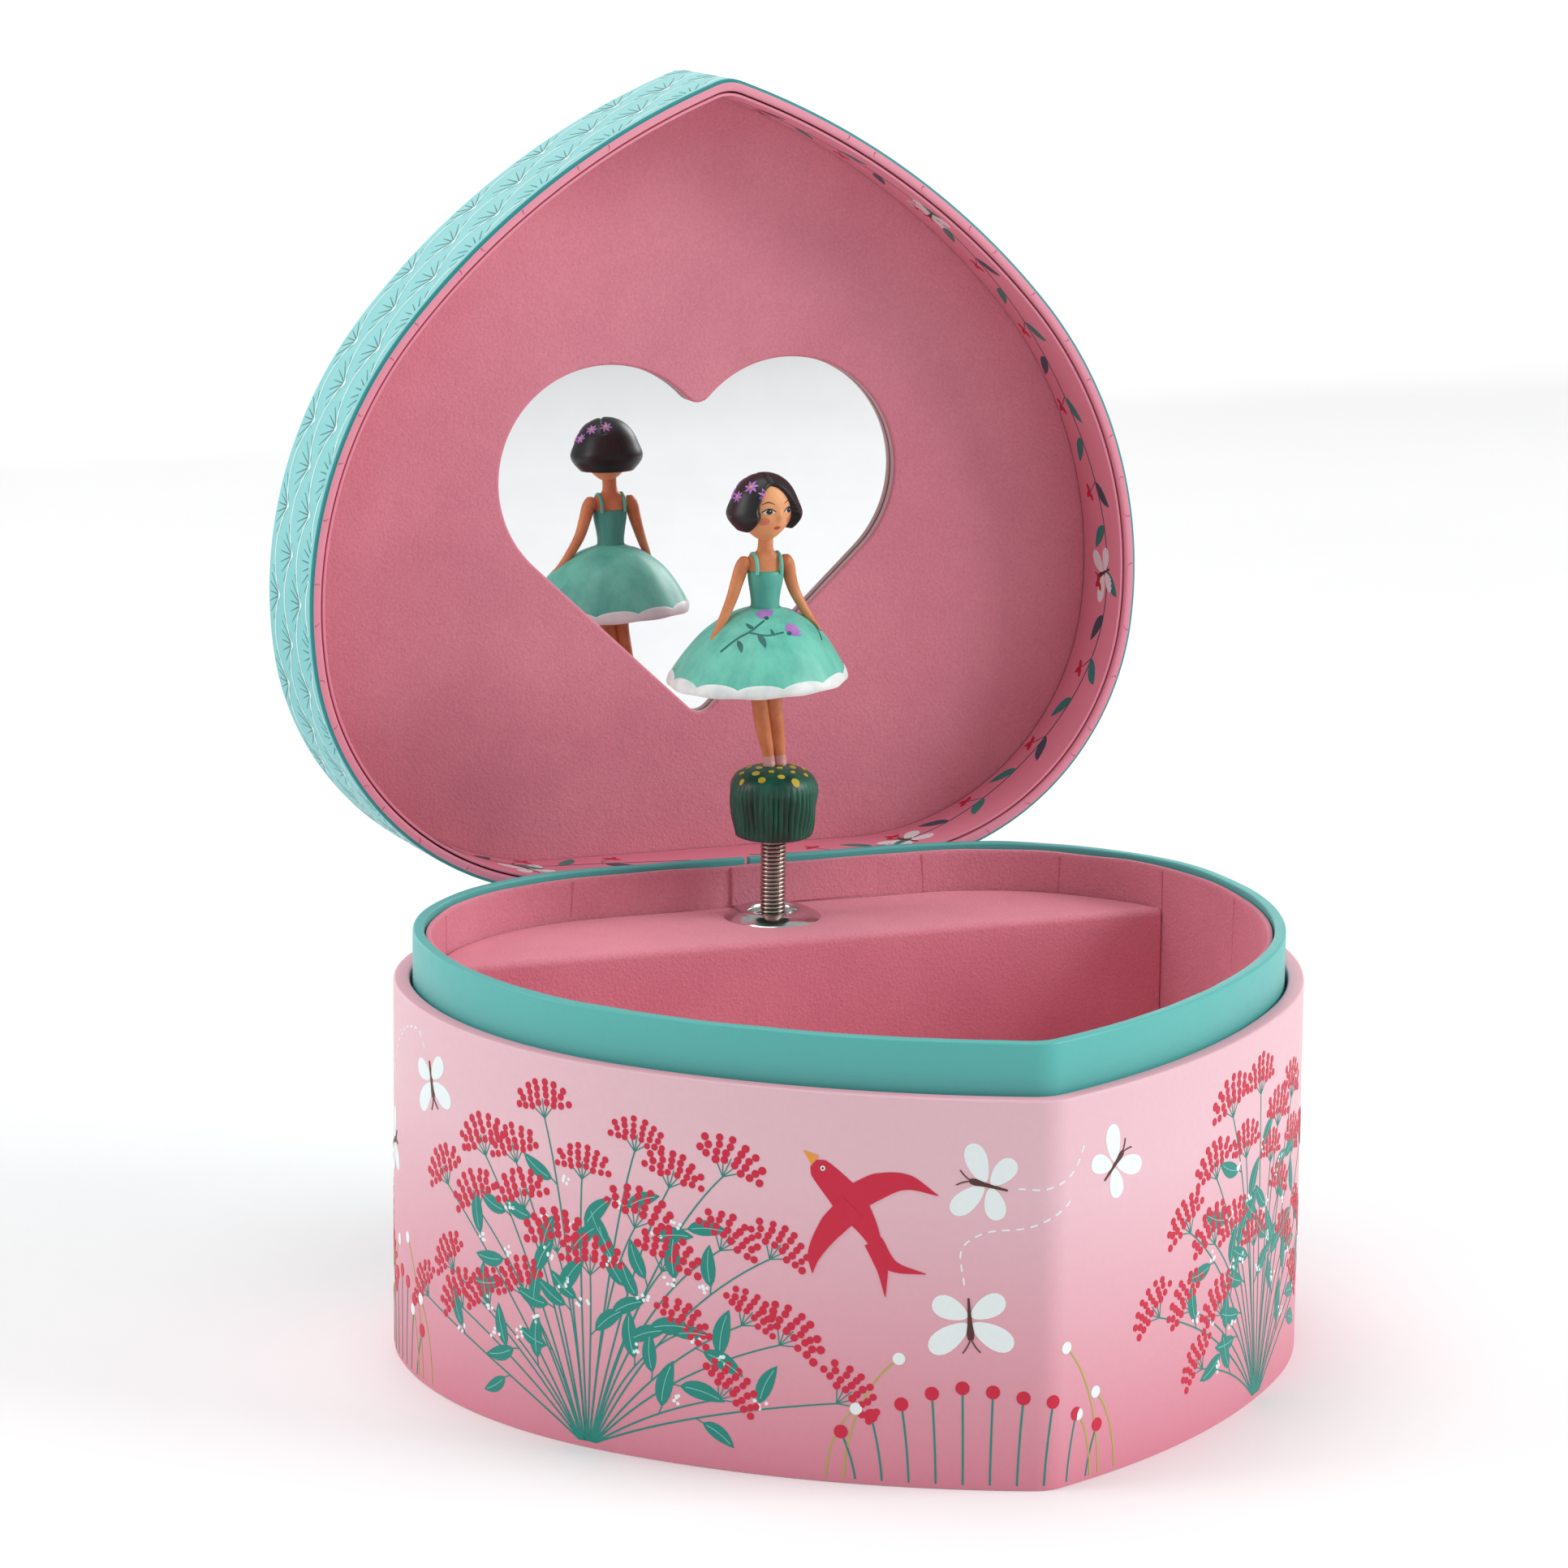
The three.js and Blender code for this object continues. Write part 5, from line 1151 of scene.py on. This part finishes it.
def branch(ink, base, tip, seed, size):
    (u0, v0), (u1, v1) = base, tip
    path = curve(base, (u0 + 0.42 * (u1 - u0) + 2 * jitter(seed, 1), v0 + 0.72 * (v1 - v0)), tip, 18)
    ink.strip(path, np.linspace(0.36, 0.26, 18), "green")
    d = path[-1] - path[-3]
    turn = math.atan2(d[1], d[0])
    turn = turn * 0.6 + math.pi / 2 * 0.4 if turn > -0.5 else turn
    umbel(ink, path[-1, 0], path[-1, 1], turn, size, seed)
    reach = math.hypot(u1 - u0, v1 - v0)
    long_stem = (0.5 + 0.08 * jitter(seed, 4), 0.76)
    for k, f in enumerate(long_stem if reach > 34 else (0.6 + 0.1 * jitter(seed, 4),)):
        p = path[int(f * 17)]
        d = path[int(f * 17) + 1] - p
        side = 1 if (k + seed) % 2 else -1
        a = math.atan2(d[1], d[0]) + side * (0.75 + 0.2 * jitter(seed, k))
        stalk = p + 1.4 * np.array([math.cos(a), math.sin(a)])
        ink.strip(curve(p, (p + stalk) / 2, stalk, 4), 0.22, "green")
        long = 7.3 + 1.2 * jitter(seed, k, 4)
        ink.leaf(stalk[0], stalk[1], long, long * 0.37, a + 0.15 * side, "green", "pale", 1)
    q = path[12] + [1.8 * jitter(seed, 9), 1.2]
    for k in range(5):
        ink.dot(q[0] + 1.5 * jitter(seed, k, 2), q[1] + 1.3 * jitter(seed, k, 3), 0.34, "snow", 1, 7)


def shrub(ink, u, width, height, seed, count=26):
    """Stems fan out from one foot; their flower heads fill the crown at uneven reaches."""
    for k in range(count):
        f = (k + 0.5) / count
        a = math.radians(7 + 166 * f + 3.5 * jitter(seed, k))
        share = (1.0, 0.60, 0.86, 0.72, 0.97, 0.50, 0.80)[k % 7] * (1 + 0.06 * jitter(k, seed))
        size = 0.98 + 0.14 * jitter(seed + k, 3)
        x = u + share * width * math.cos(a)
        y = 2 + share * (height - 9) * math.sin(a) ** 0.8
        branch(ink, (u + 1.6 * math.cos(a), 1.2), (x, min(y, height - 8.5)), seed * 40 + k, size)


def butterfly(ink, u, v, turn, size=1.0):
    c, s = math.cos(turn), math.sin(turn)

    def spin(points):
        return np.asarray(points) @ np.array([[c, s], [-s, c]]) * size + [u, v]
    for side in (-1, 1):
        for a, long, wide, x0 in ((0.98 * side, 7.0, 4.5, 0.5), (2.05 * side, 5.6, 4.3, -0.6)):
            t = np.linspace(0, 2 * math.pi, 21)[:-1]
            lobe = np.c_[long / 2 * (1 - np.cos(t)), wide / 2 * np.sin(t) * (0.55 + 0.45 * (1 - np.cos(t)) / 2)]
            ca, sa = math.cos(a), math.sin(a)
            wing = lobe @ np.array([[ca, sa], [-sa, ca]]) + [x0, 0.25 * side]
            ink.fan(spin(wing), "snow", 1.0 + 0.3 * (long < 6), True)
        ink.strip(spin(curve((2.6, 0), (3.8, 0.3 * side), (4.9, 1.3 * side), 7)), 0.2, "brown", 2)
    ink.strip(spin(curve((-3.4, 0), (0, 0), (2.9, 0), 12)), np.interp(np.linspace(0, 1, 12), [0, 0.6, 0.85, 1],
              [0.3, 0.7, 1.2, 0.8]) * size, "brown", 2.4)


def trail(ink, points, colour="snow"):
    path = smooth_line(points, 160)
    a = along(path)
    for k in range(int(a[-1] / 2.3)):
        t = np.linspace(2.3 * k, 2.3 * k + 1.25, 4)
        ink.strip(np.c_[np.interp(t, a, path[:, 0]), np.interp(t, a, path[:, 1])], 0.28, colour)


def bird(ink, u, v, size=1.0):
    def to(points):
        return np.asarray(points, float) * size + [u, v]
    body = smooth_line([(-8.6, 8.2), (-6.6, 6.4), (-3.0, 2.6), (0.5, -2.0), (3.2, -7.5)], 26)
    girth = taper(26, [0, 0.1, 0.25, 0.55, 0.85, 1], [1.6, 3.5, 4.2, 5.6, 2.4, 1.0])
    ink.strip(to(body), girth * size, "red", 2)
    up = smooth_line([(-1.8, 2.8), (2.5, 5.2), (7.0, 6.0), (12.0, 4.0)], 24)
    ink.strip(to(up), taper(24, [0, 0.3, 0.7, 1], [4.6, 4.4, 2.4, 0.1]) * size, "red", 2.4)
    down = smooth_line([(-2.0, 1.4), (-5.6, -2.5), (-8.2, -7.0), (-8.6, -10.4)], 24)
    ink.strip(to(down), taper(24, [0, 0.3, 0.7, 1], [4.6, 4.2, 2.2, 0.1]) * size, "red", 2.8)
    for tail in ([(1.6, -4.5), (4.6, -8.2), (10.2, -9.4)], [(1.6, -4.5), (3.0, -8.6), (3.6, -13.6)]):
        ink.strip(to(smooth_line(tail, 18)), taper(18, [0, 0.4, 1], [3.2, 2.4, 0.1]) * size, "red", 2.2)
    ink.strip(to([(-8.3, 8.7), (-9.2, 9.4), (-10.3, 10.2)]), [2.0 * size, 1.1 * size, 0.08], "orange", 2.6)
    ink.dot(*to([(-7.0, 7.5)])[0], 0.42 * size, "snow", 3.6, 12)
    ink.dot(*to([(-7.0, 7.5)])[0], 0.2 * size, "brown", 4.4, 8)


def meadow(ink, u0, u1, count, seed):
    for k in range(count):
        f = k / (count - 1)
        x = u0 + (u1 - u0) * f
        lean = (f - 0.5) * 5
        top = 9.5 + 7.5 * math.sin(math.pi * f) ** 0.8 + 1.0 * jitter(seed, k)
        ink.strip(curve((x, 0.9), (x + lean * 0.2, top * 0.5), (x + lean, top), 10), 0.34, "green")
        ink.dot(x + lean, top, 1.18, "red", 1.6, 14)
    for k, (x, lean, top) in enumerate(((u0 - 5, 5, 13), (u0 - 2, 9, 22), (u1 + 3, -8, 24), (u1 + 7, -5, 15),
                                        (u1 + 1, -3, 12))):
        ink.strip(curve((x, 0.9), (x + 0.1 * lean, top * 0.7), (x + lean, top), 16), 0.3, "olive")
        ink.dot(x + lean, top, 1.05, "snow", 1.6, 14)


def build_case_print():
    at, _ = wall_map(0.14, 1, place)
    colours = [M[k] for k in ("red", "green", "pale", "snow", "brown", "orange", "olive")]
    ink = Ink("case_flowers_left", at, colours)
    shrub(ink, -80, 44, 64, 1)
    ink.build("case", "printed_card")
    ink = Ink("case_flowers_right", at, colours)
    shrub(ink, 62, 37, 63, 2, 23)
    ink.build("case", "printed_card")
    ink = Ink("case_flowers_back_left", at, colours)
    shrub(ink, -188, 42, 63, 3)
    ink.build("case", "printed_card")
    ink = Ink("case_flowers_back_right", at, colours)
    shrub(ink, 176, 42, 63, 4)
    ink.build("case", "printed_card")
    ink = Ink("case_birds_and_meadow", at, colours)
    meadow(ink, -32, 8, 10, 1)
    meadow(ink, -146, -128, 7, 2)
    meadow(ink, 112, 132, 7, 3)
    bird(ink, -31, 46)
    bird(ink, 120, 44, 0.9)
    for u, v, a, s in ((-11, 52, 2.9, 1.0), (-13.5, 29, -1.5, 1.12), (13.5, 53, 0.75, 0.95), (-121, 55, -1.3, 1.0),
                       (-145, 38, 0.4, 0.9), (108, 33, 1.9, 1.0), (132, 56, 0.2, 0.9),
                       (-236, 30, 1.4, 1.0), (229, 44, 0.3, 0.95)):
        butterfly(ink, u, v, a, s)
    trail(ink, [(-6, 51.5), (-1, 51.5), (4, 54), (7, 60)])
    trail(ink, [(-14.5, 35), (-15, 41), (-11, 44), (-4, 45), (2, 48), (5, 51)])
    trail(ink, [(-124, 60), (-127, 62.5), (-134, 61), (-141, 55), (-143, 46)])
    trail(ink, [(110, 38), (112, 45), (118, 54), (126, 57)])
    ink.build("case", "printed_card")


def inside_run(points, ok):
    """The first unbroken run of points that all pass the test."""
    run = []
    for p in points:
        if ok(*p):
            run.append(p)
        elif len(run) > 2:
            break
        else:
            run = []
    return run if len(run) > 2 else None


def scallops(ink, low, count, pitch, rise, ok):
    """Fans in staggered rows; neighbouring arcs meet at the foot of the next row's fan."""
    r, start = math.hypot(pitch / 2, rise), math.atan2(rise, pitch / 2)
    for j in range(count):
        v = low + rise * j
        for k in range(-24, 25):
            u = (k + 0.5 * (j % 2)) * pitch
            a = np.linspace(start, math.pi - start, 19)
            run = inside_run(np.c_[u + r * np.cos(a), v + r * np.sin(a)], ok)
            if run:
                ink.strip(run, 0.36, "snow", 1.6)
            if ok(u, v):
                ink.dot(u, v + 0.2, 0.5, "snow", 2.2, 10)
            for i in range(7):
                b = start * 1.04 + (math.pi - 2.08 * start) * i / 6
                c, d = math.cos(b), math.sin(b)
                f = np.linspace(0.12, 0.66 + 0.07 * jitter(i, j, k), 6)[:, None]
                run = inside_run(np.array([[u, v]]) + r * f * [c, d], ok)
                if run:
                    ink.strip(run, np.linspace(0.3, 0.12, len(run)), "deep", 1)


def build_lid_print():
    at, length = wall_map(0.12, 1, place_lid, RIM)
    ink = Ink("lid_scallops_side", at, [M["snow"], M["deep"]], 0.035)
    scallops(ink, -7.6, 6, 2 * length / 30, 6.7, lambda u, v: abs(u) <= length - 1 and 1.6 < v < 25.6)
    ink.build("lid", "lid_card")
    top = RIM + 26.7
    base = place_lid([[0, 0, 0]])[0]
    up = (place_lid([[0, 0, 1]])[0] - base) * 1000
    edge = half(1.6, 400)
    tall = edge[:, 1] < BACK - 3

    def inside(u, v):
        return edge[0, 1] < v < BACK - 2 and abs(u) < np.interp(v, edge[tall, 1], edge[tall, 0])
    on_top = lambda u, v: (place_lid([[u, v, top]])[0], up)
    ink = Ink("lid_scallops_top", on_top, [M["snow"], M["deep"]], 0.035)
    scallops(ink, -80, 24, 16.2, 6.7, inside)
    ink.build("lid", "lid_card")
    at, length = wall_map(3.0, -1, place_lid, RIM)
    ink = Ink("lid_lining_vines", at, [M[k] for k in ("vine", "green", "red", "snow", "brown")], 0.03)
    for side in (-1, 1):
        u = np.linspace(6, length - 6, 150)
        v = 9.2 + 2.6 * np.sin(u / 13.0 + side)
        ink.strip(np.c_[side * u, v], 0.34, "vine")
        for k in range(int((length - 22) / 8.4)):
            p = 10 + k * 8.4
            q = 9.2 + 2.6 * math.sin(p / 13.0 + side)
            lift = 1 if k % 2 else -1
            a = (math.pi if side < 0 else 0) + side * lift * (0.75 + 0.2 * jitter(k, side))
            ink.leaf(side * p, q, 6.4, 2.5, a, "green" if k % 3 else "vine", None, 1.3)
            if k % 2 == 0:
                b = (math.pi if side < 0 else 0) - side * lift * 0.95
                end = (side * p + 4.2 * math.cos(b), q + 4.2 * math.sin(b))
                ink.strip(curve((side * p, q), (side * p + 1.2, q + 2.1 * math.sin(b)), end, 8), 0.2, "vine")
                for i in range(3):
                    c = b + (i - 1) * 1.5
                    ink.leaf(end[0], end[1], 1.9, 1.1, c, "red", None, 1.6)
        for p in (48, 128, 196):
            butterfly(ink, side * p, 7.5 + 1.5 * jitter(p), 1.2, 0.8)
    ink.build("lid", "lining_paper")


def build_creases():
    """Where the paper and the lining were pulled round the curves, small folds stayed; they are drawn as darker
    strips, which are painted shade of the folds.
    """
    # The crease and fold colours are darker than the paper and flock they lie on: painted shade in the folds.
    M["crease"] = paper("painted_crease_shade", lin(196, 104, 128), lin(196, 104, 128))
    M["fold"] = flock("painted_lining_fold_shade", lin(206, 116, 136), lin(212, 122, 142), 0.1)
    base = place_lid([[0, 0, 0]])[0]
    down = (place_lid([[0, 0, -1]])[0] - base) * 1000

    def on_lip(u, v):
        line = half(v, 400)
        a = along(line)
        q = abs(u) / 242.7 * a[-1]
        x, y = np.interp(q, a, line[:, 0]), np.interp(q, a, line[:, 1])
        return place_lid([[math.copysign(x, u), y, RIM]])[0], down
    lip = Ink("lid_lip_fold_shade", on_lip, [M["crease"]], 0.03)
    for side in (-1, 1):
        for k in range(19):
            u = side * (24 + 9.8 * k + 3.2 * jitter(k, side))
            fold = [(u, 0.85), (u + 0.35 * jitter(k, 2), 1.4), (u + 0.8 * jitter(k, 3), 1.75)]
            lip.strip(fold, [0.3, 0.16, 0.1],
                      "crease")
    lip.build("lid", "lid_card")
    at, _ = wall_map(6.78, -1, place)
    folds = Ink("lining_fold_shade", at, [M["fold"]], 0.1)
    for u, low, lean in ((92, 68, 0.5), (118, 60, -0.4), (141, 64, 0.3), (163, 66, -0.3), (188, 64, 0.5),
                         (-96, 67, 0.4), (-128, 66, -0.3), (-152, 65, 0.4), (-186, 67, -0.4),
                         (40, 52, 0.2), (-44, 55, -0.3)):
        t = np.linspace(0, 1, 10)
        folds.strip(np.c_[u + lean * t, low + (73.4 - low) * t], 0.12 + 0.34 * t ** 2, "fold")
    folds.build("case", "flocked_board")
    y = BACK - 6.8
    edge = rounded([(-4.4, y + 0.15), (-4.4, y - 0.55), (-1.5, y - 0.5), (24, y - 0.02), (24, y + 0.15)], 0.2, 3)
    loop = np.array([(p[0], p[1]) for p in edge])
    rows = [(66.7, 0), (70, 0.05), (73.2, 0), (73.75, 0.1)]
    loops = [at_z(loop + [shift, 0], z) for z, shift in rows]
    add(loft("lining_overlap", loops, [M["lining"]], [0] * 4), "case",
        "flocked_board")


build_case_print()
build_lid_print()
build_creases()

# ---------------------------------------------------------------- floor, light and camera
def build_stage():
    s = 8.0
    bend = np.linspace(0, math.pi / 2, 14)
    side = [(-6, 0)] + [(3 + 1.2 * math.sin(a), 1.2 - 1.2 * math.cos(a)) for a in bend] + [(4.2, 5)]
    verts = [(x, y, z) for y, z in side for x in (-s, s)]
    faces = [(2 * i, 2 * i + 1, 2 * i + 3, 2 * i + 2) for i in range(len(side) - 1)]
    m = Mat("studio_floor", rough=0.7, spec=0.2)
    m.color(m.ramp(m.noise(6, 2), [(0.3, lin(250, 250, 251)), (0.7, lin(253, 253, 253))]))
    o = mesh("studio_sweep", verts, faces, [m.m], None, 60)

    def area(name, where, aim, size, power):
        light = bpy.data.lights.new(name, "AREA")
        light.shape, light.energy = "RECTANGLE", power
        light.size, light.size_y = size
        lo = bpy.data.objects.new(name, light)
        lo.location = where
        lo.rotation_euler = (Vector(aim) - Vector(where)).to_track_quat("-Z", "Y").to_euler()
        bpy.context.scene.collection.objects.link(lo)

    area("key_softbox", (1.75, -0.95, 1.05), (0, 0, 0.08), (1.1, 1.1), 27)
    area("rim_softbox", (-1.6, 0.35, 0.8), (0, 0, 0.1), (0.9, 0.9), 9)
    area("top_softbox", (-0.3, 0.2, 1.9), (0, 0, 0.05), (1.3, 1.2), 11)
    area("backdrop_softbox", (0, 1.3, 1.6), (0, 4.2, 0.9), (3.2, 1.2), 100)
    world = bpy.data.worlds.new("studio")
    world.use_nodes = True
    world.node_tree.nodes["Background"].inputs[0].default_value = (1, 1, 1, 1)
    world.node_tree.nodes["Background"].inputs[1].default_value = 0.46
    bpy.context.scene.world = world
    cam = bpy.data.cameras.new("photo_camera")
    cam.sensor_width, cam.lens = 36, 144.77
    cam.shift_x, cam.shift_y = -0.0298, -0.0195
    cam.clip_start, cam.clip_end = 0.05, 30
    co = bpy.data.objects.new("photo_camera", cam)
    right, up = Vector((0.93226, -0.36161, 0.01141)), Vector((0.06700, 0.20357, 0.97677))
    back = right.cross(up)
    turn = Matrix((right, up, back)).transposed().to_4x4()
    co.matrix_world = Matrix.Translation((-0.39268, -0.99406, 0.33883)) @ turn
    bpy.context.scene.collection.objects.link(co)
    bpy.context.scene.camera = co
    bpy.context.scene.view_settings.view_transform = "Standard"


build_stage()
